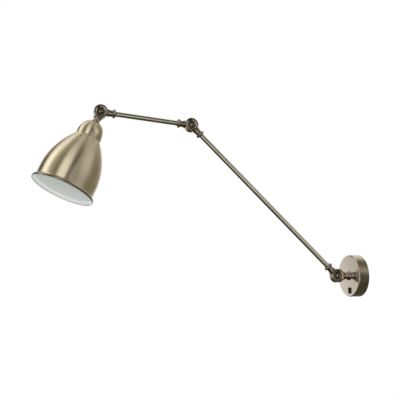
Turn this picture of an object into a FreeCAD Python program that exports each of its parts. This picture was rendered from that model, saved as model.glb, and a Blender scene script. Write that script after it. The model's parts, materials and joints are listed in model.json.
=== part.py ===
"""Articulating wall lamp: a round wall plate with a rocker switch, two tube arms on friction
knuckles and a spun bell shade on an E27 lampholder.

Millimetres. The origin is the centre of the wall plate's back, on the wall: the wall is the plane
Y = 0, the lamp stands out along -Y, and +Z is up. Both arms and the shade turn about axes along X,
and at rest they lie in the plane X = 0, at the three angles below.
"""
import FreeCAD, Part

import math
import os

Vector = FreeCAD.Vector

# ---- pose at rest: degrees above the horizontal, seen from the wall outwards -------------------
LOWER_ARM_ANGLE = 45.0
UPPER_ARM_ANGLE = 4.2
SHADE_ANGLE = -66.4

# ---- lengths between joint centres ------------------------------------------------------------
WALL_JOINT_OUT = 58.7       # wall to the first knuckle's pivot
LOWER_ARM_L = 513.0
UPPER_ARM_L = 219.0

# ---- wall plate -------------------------------------------------------------------------------
PLATE_D = 102.0
PLATE_DEPTH = 26.6
PLATE_WALL = 1.2
PLATE_EDGE_R = 2.4
SIDE_SCREW_R = 2.0          # M4 grub screws through the rim, top and bottom
SIDE_SCREW_L = 7.0
SIDE_SCREW_Y = 8.0          # their distance from the wall
SIDE_SCREW_SOCKET_AF = 2.0

# ---- steel bracket behind the plate -----------------------------------------------------------
BRACKET_T = 2.0
BRACKET_W = 20.0
BRACKET_REACH = 39.0        # half-length of the arms that hold the wall screws
TAB_W = 14.0
TAB_H = 13.0
SLOT_SPACING = 60.0
SLOT_L = 12.0
SLOT_W = 4.6
CABLE_HOLE_R = 7.0
CORNER_R = 3.0
EARTH_SCREW_R = 2.0
EARTH_HEAD_R = 3.6
EARTH_HEAD_H = 2.4
EARTH_SCREW_DROP = 17.0
SCREW_SLOT_W = 0.8
SCREW_SLOT_DEPTH = 1.0

# ---- terminal block ---------------------------------------------------------------------------
TERMINAL_WAYS = 3
TERMINAL_PITCH = 8.0
TERMINAL_BASE_H = 7.0
TERMINAL_TOWER_H = 6.0
TERMINAL_TOWER_R = 3.1
TERMINAL_DEPTH = 16.0       # along Z
TERMINAL_WIRE_R = 1.7
TERMINAL_SCREW_R = 1.6
TERMINAL_FROM_RIM = 27.0    # its centre below the plate's top
TERMINAL_SCREW_SUNK = 1.0
TERMINAL_SLOT_W = 0.6

# ---- mini rocker switch -----------------------------------------------------------------------
SWITCH_FROM_RIM = 15.0      # its centre above the plate's bottom
SWITCH_BEZEL = (10.6, 15.2, 1.8)
SWITCH_CAVITY = (8.0, 12.4)
SWITCH_CAVITY_DEPTH = 6.6
SWITCH_WALL = 0.6
SWITCH_BODY_DEPTH = 12.0
SWITCH_BLADE = (4.8, 0.8, 6.0)
SWITCH_BLADE_PITCH = 7.0
ROCKER_END = (5.4, 2.4)     # a finger pad's far end from the pivot: along Z, and outwards
ROCKER_DISH = 1.3           # the middle's height over the pivot
ROCKER_KEEL = 2.6
ROCKER_KEEL_SLOPE = 0.8     # the keel's width over the width that its circle allows
ROCKER_TILT = 11.0
ROCKER_PIN_R = 1.0
SWITCH_GAP = 0.2            # between the rocker's sides and its housing
PLATE_CUT_GAP = 0.1

# ---- friction knuckle, the same at all three joints -------------------------------------------
KNUCKLE_R = 16.5
KNUCKLE_HALF = 9.0          # centre plane to outer face
WASHER_T = 0.6              # fibre washer between the halves
KNUCKLE_EDGE_R = 2.2
DISH_R = 12.4               # concave dish in the outer face
RECESS_R = 8.3
RECESS_FLOOR = 4.5
DISH_DEPTH = 2.6
DISH_CROWN = 0.5            # how far the dish's side stands proud of a straight cone
PIVOT_R = 3.0               # M6 pivot screw
PIVOT_GAP = 0.06
PIVOT_HEAD_R = 5.0
PIVOT_HEAD_H = 3.2
PIVOT_HEAD_SIDE = 1.3       # straight part of the head, under its dome
PIVOT_DOME_CROWN = 0.35
PIVOT_SOCKET_AF = 4.0
PIVOT_SOCKET_DEPTH = 2.0
SPRING_WASHER_T = 1.0
PIVOT_NUT_AF = 10.0
PIVOT_NUT_T = 3.2
SADDLE_R = 8.5
FLANGE_START = 17.0         # from the pivot along the stem
FLANGE_T = 2.0
FLANGE_R = 10.0
NECK_R = 7.75
NECK_END = 27.5
WIRE_GROOVE_W = 3.6
WIRE_GROOVE_DEPTH = 2.4
WIRE_RING_R = 8.0
WIRE_RING_INNER_R = 4.5
WASHER_INSET = 1.0          # fibre washer's edge inside the disc's
WASHER_RING_GAP = 0.5

# ---- tubes, bead collars and threaded nipples -------------------------------------------------
TUBE_R = 6.0
TUBE_WALL = 1.0
BEAD_R = 11.0
BEAD_L = 6.4
BEAD_FOOT_R = 8.4
BEAD_FOOT_L = 0.5           # the short cones on each side of the bead
COLLAR_L = 8.5
COLLAR_LIP_R = 7.2
COLLAR_LIP_EDGE = 0.4
TUBE_SEAT = 6.0             # how deep a tube end sits in its collar
NIPPLE_R = 5.0              # M10 x 1 hollow nipple
NIPPLE_BORE_R = 3.3
NIPPLE_IN_NECK = 9.0
NIPPLE_IN_TUBE = 12.0
CABLE_R = 3.0
NUT_AF = 14.0
NUT_T = 3.0
PLATE_WASHER_R = 9.0
PLATE_WASHER_T = 1.0
NIPPLE_PAST_NUT = 2.0
SWIVEL_GAP = 0.06           # nipple in the plate's centre hole

# ---- shade head, measured along the shade's axis from the last pivot --------------------------
CAP_RING_R = 10.0
CAP_RING_T = 2.7
CAP_R = 29.6
CAP_WALL = 1.0
CAP_H = 42.8
CAP_CROWN_R = 10.6          # flat crown under the ring
CAP_CROWN_ANGLE = 73.5      # how steeply the crown leaves the ring, from the axis
CAP_SHOULDER = (10.8, 23.8) # below the crown, and out from the axis
CAP_SIDE_AT = 32.8          # below the crown, where the side is straight
SHADE_RIM_AT = 209.6
SHADE_R = 68.0
SHADE_WALL = 0.8
SHADE_NECK_R = 29.8
SHADE_SIDE_L = 16.5         # straight stretch above the lip
SHADE_SHOULDER_ANGLE = 37.1 # where the bell leaves its neck, from the axis
SHADE_WAIST = (40.0, 53.6)  # below the shade's top, and out from the axis
LIP_H = 13.5
LIP_TURN = (5.1, 3.0)       # where the lip's hollow turns into its roll
LIP_END_OUT = 4.4
VENT_COUNT = 16
VENT_R = 1.5
VENT_AT = 13.5             # below the shade's top

# ---- E27 lampholder ---------------------------------------------------------------------------
HOLDER_TOP_R = 9.0
HOLDER_ENTRY_L = 8.0
HOLDER_CONE_L = 6.0
HOLDER_R = 19.0
HOLDER_SHOULDER_R = 22.5
HOLDER_SHOULDER_T = 3.0
HOLDER_SKIRT_R = 19.8
HOLDER_SKIRT_L = 27.0       # below the shade's flange
HOLDER_BORE_R = 14.3
SHELL_R = 13.3              # inside of the screw shell
SHELL_WALL = 0.8
SHELL_L = 26.0
SHELL_MOUTH_GAP = 6.0       # shell's end to the skirt's end
SHELL_BASE_R = 9.5
CONTACT_WELL_R = 8.5
CONTACT_WELL_L = 8.0
CONTACT_R = 5.0
CONTACT_H = 5.0
SHADE_RING_R = 26.0
SHADE_RING_L = 7.0
SHADE_RING_RIBS = 24
SHADE_RING_RIB_R = 1.2
THREAD_GAP = 0.1            # radial play where one piece screws or slides over another

# ---- places worked out from the sizes ---------------------------------------------------------
PLATE_R = PLATE_D / 2
SWITCH_Z = SWITCH_FROM_RIM - PLATE_R
TERMINAL_Z = PLATE_R - TERMINAL_FROM_RIM
FLANGE_END = FLANGE_START + FLANGE_T
WALL_STEM_L = WALL_JOINT_OUT - PLATE_DEPTH
BEAD_START = NECK_END + BEAD_FOOT_L
BEAD_END = BEAD_START + BEAD_L
TUBE_START = NECK_END + COLLAR_L - TUBE_SEAT
CAP_TOP = NECK_END + CAP_RING_T
SHADE_TOP = CAP_TOP + CAP_H
HOLDER_TOP = CAP_TOP + CAP_WALL + NUT_T + NIPPLE_PAST_NUT
SKIRT_END = SHADE_TOP + HOLDER_SKIRT_L
SHELL_END = SKIRT_END - SHELL_MOUTH_GAP
SHELL_START = SHELL_END - SHELL_L


# ---- drawing helpers --------------------------------------------------------------------------
def flat(along, out):
    """A point of a turned outline: along the turning axis (local -Y) and out from it."""
    return Vector(out, -along, 0)


def outline_wire(start, *steps, close=True):
    """Lines to (along, out), or arcs through one such point to another."""
    here = flat(*start)
    edges = []
    for step in steps:
        if isinstance(step[0], tuple):
            middle, end = flat(*step[0]), flat(*step[1])
            edges.append(Part.Arc(here, middle, end).toShape())
        else:
            end = flat(*step)
            if here.distanceToPoint(end) > 1e-6:
                edges.append(Part.makeLine(here, end))
        here = end
    if close:
        edges.append(Part.makeLine(here, flat(*start)))
    return Part.Wire(edges)


def bulge(start, end, sag):
    """An arc step between two points that stands off its chord by a sag, to the left of its way."""
    chord = math.hypot(end[0] - start[0], end[1] - start[1])
    middle = ((start[0] + end[0]) / 2 - (end[1] - start[1]) * sag / chord,
              (start[1] + end[1]) / 2 + (end[0] - start[0]) * sag / chord)
    return middle, end


def smooth(start, heading, *ends):
    """Arc steps from a start and a heading, in degrees from the axis, each tangent to the last."""
    steps = []
    for end in ends:
        chord = math.hypot(end[0] - start[0], end[1] - start[1])
        chord_angle = math.degrees(math.atan2(end[1] - start[1], end[0] - start[0]))
        steps.append(bulge(start, end, chord / 2 * math.tan(math.radians(heading - chord_angle) / 2)))
        start, heading = end, 2 * chord_angle - heading
    return steps


def turned(start, *steps):
    """A solid of revolution about local Y."""
    face = Part.Face(outline_wire(start, *steps))
    return face.revolve(Vector(0, 0, 0), Vector(0, 1, 0), 360)


def ring(start, end, outer, inner=0.0):
    """A plain turned disc, tube or washer."""
    return turned((start, inner), (start, outer), (end, outer), (end, inner))


def hexagon(across_flats, start, end):
    """A hexagonal bar along local -Y."""
    radius = across_flats / math.sqrt(3)
    turns = [math.radians(60 * k) for k in range(7)]
    corners = [Vector(radius * math.cos(turn), -start, radius * math.sin(turn)) for turn in turns]
    return Part.Face(Part.makePolygon(corners)).extrude(Vector(0, start - end, 0))


def spun_shell(outer, wall):
    """A sheet-metal shell: an open outer outline, drawn from the closed end, is thickened and turned.

    A wall is positive where the outline runs away from the joint, and negative where it runs back.
    """
    face = outer.makeOffset2D(wall, join=0, fill=True, openResult=True)
    return face.revolve(Vector(0, 0, 0), Vector(0, 1, 0), 360)


def box(x, y, z):
    """A box from three (low, high) pairs."""
    return Part.makeBox(x[1] - x[0], y[1] - y[0], z[1] - z[0], Vector(x[0], y[0], z[0]))


def about_x_axis(shape):
    """Turns a shape made about local -Y so that it lies along +X."""
    turned_shape = shape.copy()
    turned_shape.rotate(Vector(0, 0, 0), Vector(0, 0, 1), 90)
    return turned_shape


def along_arm(shape, joint, angle, distance=0.0):
    """Sets a piece made along local -Y on an arm that leaves a joint at an angle."""
    placed = shape.copy()
    placed.translate(Vector(0, -distance, 0))
    placed.rotate(Vector(0, 0, 0), Vector(1, 0, 0), -angle)
    placed.translate(joint)
    return placed


def arm_direction(angle):
    """Unit vector of an arm that leaves a joint at an angle."""
    return Vector(0, -math.cos(math.radians(angle)), math.sin(math.radians(angle)))


WALL_JOINT = Vector(0, -WALL_JOINT_OUT, 0)
ELBOW_JOINT = WALL_JOINT + arm_direction(LOWER_ARM_ANGLE) * LOWER_ARM_L
SHADE_JOINT = ELBOW_JOINT + arm_direction(UPPER_ARM_ANGLE) * UPPER_ARM_L


# ---- wall plate and what is behind it ---------------------------------------------------------
def side_screw_places(make):
    """One copy at the top of the rim and one at the bottom, made along +Z."""
    top = make.copy()
    top.translate(Vector(0, -SIDE_SCREW_Y, 0))
    bottom = top.copy()
    bottom.rotate(Vector(0, -SIDE_SCREW_Y, 0), Vector(0, 1, 0), 180)
    return [top, bottom]


def wall_plate():
    """Deep drawn cup, open to the wall."""
    edge = PLATE_EDGE_R
    sag = edge * (1 - math.sqrt(0.5))
    front = PLATE_DEPTH
    outer = outline_wire((front, 0), (front, PLATE_R - edge),
                         ((front - sag, PLATE_R - sag), (front - edge, PLATE_R)),
                         (0, PLATE_R), close=False)
    cup = spun_shell(outer, -PLATE_WALL)
    nipple_hole = ring(0, PLATE_DEPTH, NIPPLE_R + SWIVEL_GAP)
    half_x, half_z = switch_cut_half_sizes()
    switch_hole = box((-half_x, half_x), (-PLATE_DEPTH - 1, -PLATE_DEPTH + 2 * PLATE_WALL),
                      (SWITCH_Z - half_z, SWITCH_Z + half_z))
    drill = Part.makeCylinder(SIDE_SCREW_R + THREAD_GAP, PLATE_R)
    return cup.cut([nipple_hole, switch_hole] + side_screw_places(drill))


def tab_outer_z():
    """The tabs' outer faces: as far out as the cup's round wall lets their corners go."""
    inside = PLATE_R - PLATE_WALL - THREAD_GAP
    return math.sqrt(inside ** 2 - (TAB_W / 2) ** 2)


def slot(length, width, depth):
    """A round-ended slot along X, through local Y from 0 to -depth."""
    straight = (length - width) / 2
    middle = box((-straight, straight), (-depth, 0), (-width / 2, width / 2))
    ends = [Part.makeCylinder(width / 2, depth, Vector(x, 0, 0), Vector(0, -1, 0))
            for x in (-straight, straight)]
    return middle.fuse(ends).removeSplitter()


def mounting_bracket():
    """Cross-shaped pressed bracket with a tapped tab at the top and the bottom."""
    outer_z = tab_outer_z()
    upright = box((-TAB_W / 2, TAB_W / 2), (-BRACKET_T, 0), (-outer_z, outer_z))
    crossbar = box((-BRACKET_REACH, BRACKET_REACH), (-BRACKET_T, 0), (-BRACKET_W / 2, BRACKET_W / 2))
    corners = [edge for edge in crossbar.Edges if abs(abs(edge.tangentAt(0).y) - 1) < 1e-6]
    crossbar = crossbar.makeFillet(CORNER_R, corners)
    tab_ends = [sorted((side * outer_z, side * (outer_z - BRACKET_T))) for side in (-1, 1)]
    tabs = [box((-TAB_W / 2, TAB_W / 2), (-TAB_H, 0), ends) for ends in tab_ends]
    bracket = upright.fuse([crossbar] + tabs).removeSplitter()
    cuts = [ring(0, BRACKET_T, CABLE_HOLE_R)]
    for side in (-1, 1):
        wall_slot = slot(SLOT_L, SLOT_W, BRACKET_T)
        wall_slot.translate(Vector(side * SLOT_SPACING / 2, 0, 0))
        cuts.append(wall_slot)
    cuts += side_screw_places(Part.makeCylinder(SIDE_SCREW_R, PLATE_R))
    earth_hole = ring(0, BRACKET_T, EARTH_SCREW_R)
    earth_hole.translate(Vector(0, 0, -EARTH_SCREW_DROP))
    return bracket.cut(cuts + [earth_hole])


def plate_screws():
    """Two hexagon-socket grub screws, flush with the rim."""
    body = ring(0, SIDE_SCREW_L, SIDE_SCREW_R)
    screw = body.cut(hexagon(SIDE_SCREW_SOCKET_AF, 0, SIDE_SCREW_R))
    screw.rotate(Vector(0, 0, 0), Vector(1, 0, 0), 90)
    screw.translate(Vector(0, 0, PLATE_R - PLATE_WALL / 4))
    return Part.makeCompound(side_screw_places(screw))


def screw_slot(reach, top, width):
    """The cutter of a straight driver slot in a head whose top is at a distance along local -Y."""
    return box((-reach, reach), (-top, -top + SCREW_SLOT_DEPTH), (-width / 2, width / 2))


def earth_screw():
    """Pan-head screw tapped into the bracket's lower arm."""
    head_top = BRACKET_T + EARTH_HEAD_H
    dome_side, dome_top = (BRACKET_T + EARTH_HEAD_H / 2, EARTH_HEAD_R), (head_top, EARTH_HEAD_R / 2)
    screw = turned((THREAD_GAP, 0), (THREAD_GAP, EARTH_SCREW_R), (BRACKET_T, EARTH_SCREW_R),
                   (BRACKET_T, EARTH_HEAD_R), dome_side, bulge(dome_side, dome_top, EARTH_HEAD_H / 8),
                   (head_top, 0))
    screw = screw.cut(screw_slot(EARTH_HEAD_R, head_top, SCREW_SLOT_W))
    screw.translate(Vector(0, 0, -EARTH_SCREW_DROP))
    return screw


def terminal_ways():
    """X of each way of the terminal block."""
    first = -TERMINAL_PITCH * (TERMINAL_WAYS - 1) / 2
    return [first + TERMINAL_PITCH * k for k in range(TERMINAL_WAYS)]


def terminal_towers():
    """(x, z) of each clamping screw: two in each way."""
    return [(x, TERMINAL_Z + side * TERMINAL_DEPTH / 4) for x in terminal_ways() for side in (-1, 1)]


def terminal_block():
    """Moulded strip that stands on the bracket: a base, and a tower over each clamping screw."""
    half = TERMINAL_PITCH * TERMINAL_WAYS / 2
    back = -BRACKET_T
    low_z = TERMINAL_Z - TERMINAL_DEPTH / 2
    base = box((-half, half), (back - TERMINAL_BASE_H, back), (low_z, low_z + TERMINAL_DEPTH))
    towers, cuts = [], []
    top = TERMINAL_BASE_H + TERMINAL_TOWER_H
    for x, z in terminal_towers():
        towers.append(Part.makeCylinder(TERMINAL_TOWER_R, top, Vector(x, back, z), Vector(0, -1, 0)))
        cuts.append(Part.makeCylinder(TERMINAL_SCREW_R, top / 2, Vector(x, back - top, z), Vector(0, 1, 0)))
    for x in terminal_ways():
        wire_end = Vector(x, back - TERMINAL_BASE_H / 2, low_z)
        cuts.append(Part.makeCylinder(TERMINAL_WIRE_R, TERMINAL_DEPTH, wire_end, Vector(0, 0, 1)))
    return base.fuse(towers).cut(cuts).removeSplitter()


def terminal_screws():
    """Two clamping screws in each way."""
    half_top = (TERMINAL_BASE_H + TERMINAL_TOWER_H) / 2
    head_top = half_top - TERMINAL_SCREW_SUNK
    driver_slot = screw_slot(TERMINAL_SCREW_R, head_top, TERMINAL_SLOT_W)
    slotted = ring(0, head_top, TERMINAL_SCREW_R).cut(driver_slot)
    screws = []
    for x, z in terminal_towers():
        screw = slotted.copy()
        screw.translate(Vector(x, -BRACKET_T - half_top, z))
        screws.append(screw)
    return Part.makeCompound(screws)


# ---- rocker switch ----------------------------------------------------------------------------
def switch_body_half_sizes():
    """Half of the moulded body's width and height."""
    return SWITCH_CAVITY[0] / 2 + SWITCH_WALL, SWITCH_CAVITY[1] / 2 + SWITCH_WALL


def switch_cut_half_sizes():
    """Half of the plate's cut-out."""
    half_x, half_z = switch_body_half_sizes()
    return half_x + PLATE_CUT_GAP, half_z + PLATE_CUT_GAP


def at_switch(shape):
    """From the switch's own origin, on its pivot, to its place on the plate."""
    shape.translate(Vector(0, -PLATE_DEPTH, SWITCH_Z))
    return shape


def switch_housing():
    """Bezel on the plate's face and a body behind it, open for the rocker."""
    half_x, half_z = switch_body_half_sizes()
    bezel = box((-SWITCH_BEZEL[0] / 2, SWITCH_BEZEL[0] / 2), (-SWITCH_BEZEL[2], 0),
                (-SWITCH_BEZEL[1] / 2, SWITCH_BEZEL[1] / 2))
    front_edges = [edge for edge in bezel.Edges if abs(edge.CenterOfMass.y + SWITCH_BEZEL[2]) < 1e-6]
    bezel = bezel.makeFillet(SWITCH_BEZEL[2] / 3, front_edges)
    body = box((-half_x, half_x), (-SWITCH_BEZEL[2] / 2, SWITCH_BODY_DEPTH), (-half_z, half_z))
    cavity = box((-SWITCH_CAVITY[0] / 2, SWITCH_CAVITY[0] / 2), (-SWITCH_BEZEL[2], SWITCH_CAVITY_DEPTH),
                 (-SWITCH_CAVITY[1] / 2, SWITCH_CAVITY[1] / 2))
    pin_hole = about_x_axis(ring(-half_x, half_x, ROCKER_PIN_R + PIVOT_GAP))
    return at_switch(bezel.fuse(body).cut([cavity, pin_hole]).removeSplitter())


def switch_rocker():
    """Rocker with two finger pads and a keel that stays inside the circle its pads sweep."""
    end_z, end_out = ROCKER_END
    keel_z = ROCKER_KEEL_SLOPE * math.sqrt(end_z ** 2 + end_out ** 2 - ROCKER_KEEL ** 2)
    half_width = SWITCH_CAVITY[0] / 2 - SWITCH_GAP
    outline = [(-end_z, end_out), (0, ROCKER_DISH), (end_z, end_out), (end_z, 0),
               (keel_z, -ROCKER_KEEL), (-keel_z, -ROCKER_KEEL), (-end_z, 0), (-end_z, end_out)]
    corners = [Vector(-half_width, -out, z) for z, out in outline]
    pads = Part.Face(Part.makePolygon(corners)).extrude(Vector(2 * half_width, 0, 0))
    pin_end = switch_body_half_sizes()[0]
    pin = about_x_axis(ring(-pin_end, pin_end, ROCKER_PIN_R))
    rocker = pads.fuse(pin).removeSplitter()
    rocker.rotate(Vector(0, 0, 0), Vector(1, 0, 0), ROCKER_TILT)
    return at_switch(rocker)


def switch_terminals():
    """Two blades that leave the back of the switch."""
    width, thick, length = SWITCH_BLADE
    blades = [box((-width / 2, width / 2), (SWITCH_BODY_DEPTH, SWITCH_BODY_DEPTH + length),
                  (z - thick / 2, z + thick / 2)) for z in (-SWITCH_BLADE_PITCH / 2, SWITCH_BLADE_PITCH / 2)]
    return at_switch(Part.makeCompound(blades))


# ---- knuckles ---------------------------------------------------------------------------------
def knuckle_half(side):
    """One half of a friction knuckle, on +X or -X, with its stem along local -Y.

    The disc is dished to a recess for the pivot's head or nut. The stem is centred on the middle
    plane, so between disc and flange only a half-round saddle on this half's own side joins them,
    and the other half's disc turns past it.
    """
    hole = PIVOT_R + PIVOT_GAP
    inner, face = WASHER_T / 2, KNUCKLE_HALF
    edge, sag = KNUCKLE_EDGE_R, KNUCKLE_EDGE_R * (1 - math.sqrt(0.5))
    dish_top, dish_floor = (face, DISH_R), (face - DISH_DEPTH, RECESS_R)
    disc = turned((inner, hole), (inner, KNUCKLE_R), (face - edge, KNUCKLE_R),
                  ((face - sag, KNUCKLE_R - sag), (face, KNUCKLE_R - edge)), dish_top,
                  bulge(dish_top, dish_floor, DISH_CROWN), (RECESS_FLOOR, RECESS_R), (RECESS_FLOOR, hole))
    disc = about_x_axis(disc)
    own_side = box((inner, KNUCKLE_R), (-NECK_END, 0), (-KNUCKLE_R, KNUCKLE_R))
    saddle = ring((DISH_R + KNUCKLE_R) / 2, FLANGE_START, SADDLE_R).common(own_side)
    round_off = FLANGE_T / 4
    stem = turned((FLANGE_START, 0), (FLANGE_START, FLANGE_R - round_off),
                  (FLANGE_START + round_off, FLANGE_R), (FLANGE_END - round_off, FLANGE_R),
                  (FLANGE_END, FLANGE_R - round_off), (FLANGE_END, NECK_R), (NECK_END, NECK_R),
                  (NECK_END, 0))
    thread = ring(NECK_END - NIPPLE_IN_NECK, NECK_END, NIPPLE_R)
    wire_groove = box((inner, inner + WIRE_GROOVE_DEPTH), (-(NECK_END - NIPPLE_IN_NECK), -WIRE_RING_INNER_R),
                      (-WIRE_GROOVE_W / 2, WIRE_GROOVE_W / 2))
    wire_ring = about_x_axis(ring(inner, inner + WIRE_GROOVE_DEPTH, WIRE_RING_R, WIRE_RING_INNER_R))
    half = disc.fuse([saddle, stem]).cut([thread, wire_groove, wire_ring]).removeSplitter()
    if side < 0:
        half = half.mirror(Vector(0, 0, 0), Vector(1, 0, 0))
    return half


def pivot_screw():
    """Socket screw through both halves, its domed head in the +X recess."""
    tip = -(RECESS_FLOOR + SPRING_WASHER_T + PIVOT_NUT_T)
    head_top = RECESS_FLOOR + PIVOT_HEAD_H
    dome_side, dome_top = (RECESS_FLOOR + PIVOT_HEAD_SIDE, PIVOT_HEAD_R), (head_top, PIVOT_HEAD_R / 2)
    screw = turned((tip, 0), (tip, PIVOT_R), (RECESS_FLOOR, PIVOT_R), (RECESS_FLOOR, PIVOT_HEAD_R),
                   dome_side, bulge(dome_side, dome_top, PIVOT_DOME_CROWN), (head_top, 0))
    socket = hexagon(PIVOT_SOCKET_AF, head_top - PIVOT_SOCKET_DEPTH, head_top)
    return about_x_axis(screw.cut(socket))


def pivot_nut():
    """Thin hexagon nut in the -X recess."""
    start = RECESS_FLOOR + SPRING_WASHER_T
    hole = ring(-start - PIVOT_NUT_T, -start, PIVOT_R)
    return about_x_axis(hexagon(PIVOT_NUT_AF, -start - PIVOT_NUT_T, -start).cut(hole))


def spring_washer():
    """Between the nut and the -X half."""
    start = -RECESS_FLOOR - SPRING_WASHER_T
    return about_x_axis(ring(start, -RECESS_FLOOR, PIVOT_HEAD_R, PIVOT_R + PIVOT_GAP))


def friction_washer():
    """Fibre washer between the two halves, outside the ring that the wires pass through."""
    outer, inner = KNUCKLE_R - WASHER_INSET, WIRE_RING_R + WASHER_RING_GAP
    return about_x_axis(ring(-WASHER_T / 2, WASHER_T / 2, outer, inner))


# ---- arms -------------------------------------------------------------------------------------
def bead_radius(along):
    """Radius of the round bead that every collar has, at a distance from the pivot."""
    half, height = BEAD_L / 2, BEAD_R - BEAD_FOOT_R
    round_r = (half ** 2 + height ** 2) / (2 * height)
    return BEAD_R - round_r + math.sqrt(round_r ** 2 - (along - BEAD_START - half) ** 2)


def arm_collar():
    """Bead collar at an arm's end: round the nipple, and over the tube."""
    end = NECK_END + COLLAR_L
    edge = COLLAR_LIP_EDGE
    bead = ((BEAD_START + BEAD_END) / 2, BEAD_R), (BEAD_END, BEAD_FOOT_R)
    return turned((NECK_END, NIPPLE_R), (NECK_END, NECK_R), (BEAD_START, BEAD_FOOT_R), bead,
                  (BEAD_END + BEAD_FOOT_L, COLLAR_LIP_R), (end - edge, COLLAR_LIP_R),
                  (end, COLLAR_LIP_R - edge), (end, TUBE_R), (TUBE_START, TUBE_R), (TUBE_START, NIPPLE_R))


def wall_collar():
    """The same bead, cut off square where it seats on the plate's face."""
    cut = min(WALL_STEM_L, BEAD_END)
    half_way = (BEAD_START + cut) / 2
    bead = (half_way, bead_radius(half_way)), (cut, bead_radius(cut))
    return turned((NECK_END, NIPPLE_R), (NECK_END, NECK_R), (BEAD_START, BEAD_FOOT_R), bead,
                  (WALL_STEM_L, bead_radius(cut)), (WALL_STEM_L, NIPPLE_R))


def arm_pieces(prefix, joint, angle, length, near, far):
    """Tube, two collars, two nipples and the cable of one arm."""
    end = joint + arm_direction(angle) * length
    nipple = ring(NECK_END - NIPPLE_IN_NECK, TUBE_START + NIPPLE_IN_TUBE, NIPPLE_R, NIPPLE_BORE_R)
    tube = ring(TUBE_START, length - TUBE_START, TUBE_R, TUBE_R - TUBE_WALL)
    cable_inset = NECK_END - NIPPLE_IN_NECK
    cable = ring(cable_inset, length - cable_inset, CABLE_R)
    back = angle + 180
    return {
        prefix + "_tube": along_arm(tube, joint, angle),
        prefix + "_cable": along_arm(cable, joint, angle),
        prefix + "_" + near + "_collar": along_arm(arm_collar(), joint, angle),
        prefix + "_" + near + "_nipple": along_arm(nipple, joint, angle),
        prefix + "_" + far + "_collar": along_arm(arm_collar(), end, back),
        prefix + "_" + far + "_nipple": along_arm(nipple, end, back),
    }


def knuckle_pieces(name, joint, inner_angle, outer_angle, inner_name, outer_name):
    """Both halves, screw, nut and washers of one knuckle. The +X half is on the wall's side."""
    return {
        inner_name: along_arm(knuckle_half(1), joint, inner_angle + 180),
        outer_name: along_arm(knuckle_half(-1), joint, outer_angle),
        name + "_pivot_screw": along_arm(pivot_screw(), joint, inner_angle),
        name + "_pivot_nut": along_arm(pivot_nut(), joint, inner_angle),
        name + "_spring_washer": along_arm(spring_washer(), joint, inner_angle),
        name + "_friction_washer": along_arm(friction_washer(), joint, inner_angle),
    }


def wall_stem_pieces():
    """Collar and nipple that hold the first knuckle on the plate, with washer and nut inside it."""
    inside = WALL_STEM_L + PLATE_WALL
    washer_end = inside + PLATE_WASHER_T
    nut_end = washer_end + NUT_T
    nipple = ring(NECK_END - NIPPLE_IN_NECK, nut_end + NIPPLE_PAST_NUT, NIPPLE_R, NIPPLE_BORE_R)
    nut = hexagon(NUT_AF, washer_end, nut_end).cut(ring(washer_end, nut_end, NIPPLE_R))
    pieces = {
        "wall_collar": wall_collar(),
        "wall_nipple": nipple,
        "wall_nipple_washer": ring(inside, washer_end, PLATE_WASHER_R, NIPPLE_R),
        "wall_nipple_nut": nut,
    }
    return {name: along_arm(shape, WALL_JOINT, 180) for name, shape in pieces.items()}


# ---- shade head -------------------------------------------------------------------------------
def cap_ring():
    """Turned ring between the last knuckle's neck and the cap."""
    edge = CAP_RING_T / 4
    return turned((NECK_END, NIPPLE_R), (NECK_END, CAP_RING_R - edge), (NECK_END + edge, CAP_RING_R),
                  (CAP_TOP - edge, CAP_RING_R), (CAP_TOP, CAP_RING_R - edge), (CAP_TOP, NIPPLE_R))


def shade_cap():
    """Spun cap over the lampholder: a flat crown, a full shoulder and a straight skirt."""
    crown = (CAP_TOP, CAP_CROWN_R)
    shoulder = (CAP_TOP + CAP_SHOULDER[0], CAP_SHOULDER[1])
    side = (CAP_TOP + CAP_SIDE_AT, CAP_R)
    outer = outline_wire((CAP_TOP, NIPPLE_R + THREAD_GAP), crown,
                         *smooth(crown, CAP_CROWN_ANGLE, shoulder, side), (SHADE_TOP, CAP_R), close=False)
    return spun_shell(outer, CAP_WALL)


def shade_outline():
    """The shade's outside, from the flange's hole to the lip's end."""
    neck = (SHADE_TOP, SHADE_NECK_R)
    waist = (SHADE_TOP + SHADE_WAIST[0], SHADE_WAIST[1])
    side = (SHADE_RIM_AT - LIP_H - SHADE_SIDE_L, SHADE_R)
    lip = (SHADE_RIM_AT - LIP_H, SHADE_R)
    turn = (lip[0] + LIP_TURN[0], SHADE_R + LIP_TURN[1])
    end = (SHADE_RIM_AT, SHADE_R + LIP_END_OUT)
    return outline_wire((SHADE_TOP, HOLDER_SKIRT_R + THREAD_GAP), neck,
                        *smooth(neck, SHADE_SHOULDER_ANGLE, waist, side), lip,
                        *smooth(lip, 0, turn, end), close=False)


def vent_drills(shoulder):
    """One drill square to the shoulder's arc, repeated round the shade."""
    low, high = shoulder.ParameterRange
    for _ in range(40):
        middle = (low + high) / 2
        if -shoulder.valueAt(middle).y < SHADE_TOP + VENT_AT:
            low = middle
        else:
            high = middle
    point, tangent = shoulder.valueAt(low), shoulder.tangentAt(low)
    normal = Vector(abs(tangent.y), tangent.x * math.copysign(1, -tangent.y), 0)
    reach = 4 * SHADE_WALL
    drills = []
    for k in range(VENT_COUNT):
        drill = Part.makeCylinder(VENT_R, 2 * reach, point - normal * reach, normal)
        drill.rotate(Vector(0, 0, 0), Vector(0, 1, 0), k * 360 / VENT_COUNT)
        drills.append(drill)
    return drills


def shade():
    """Spun bell shade with a flange for the lampholder's ring, vent holes and a rolled lip."""
    outer = shade_outline()
    return spun_shell(outer, SHADE_WALL).cut(vent_drills(outer.Edges[1]))


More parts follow.
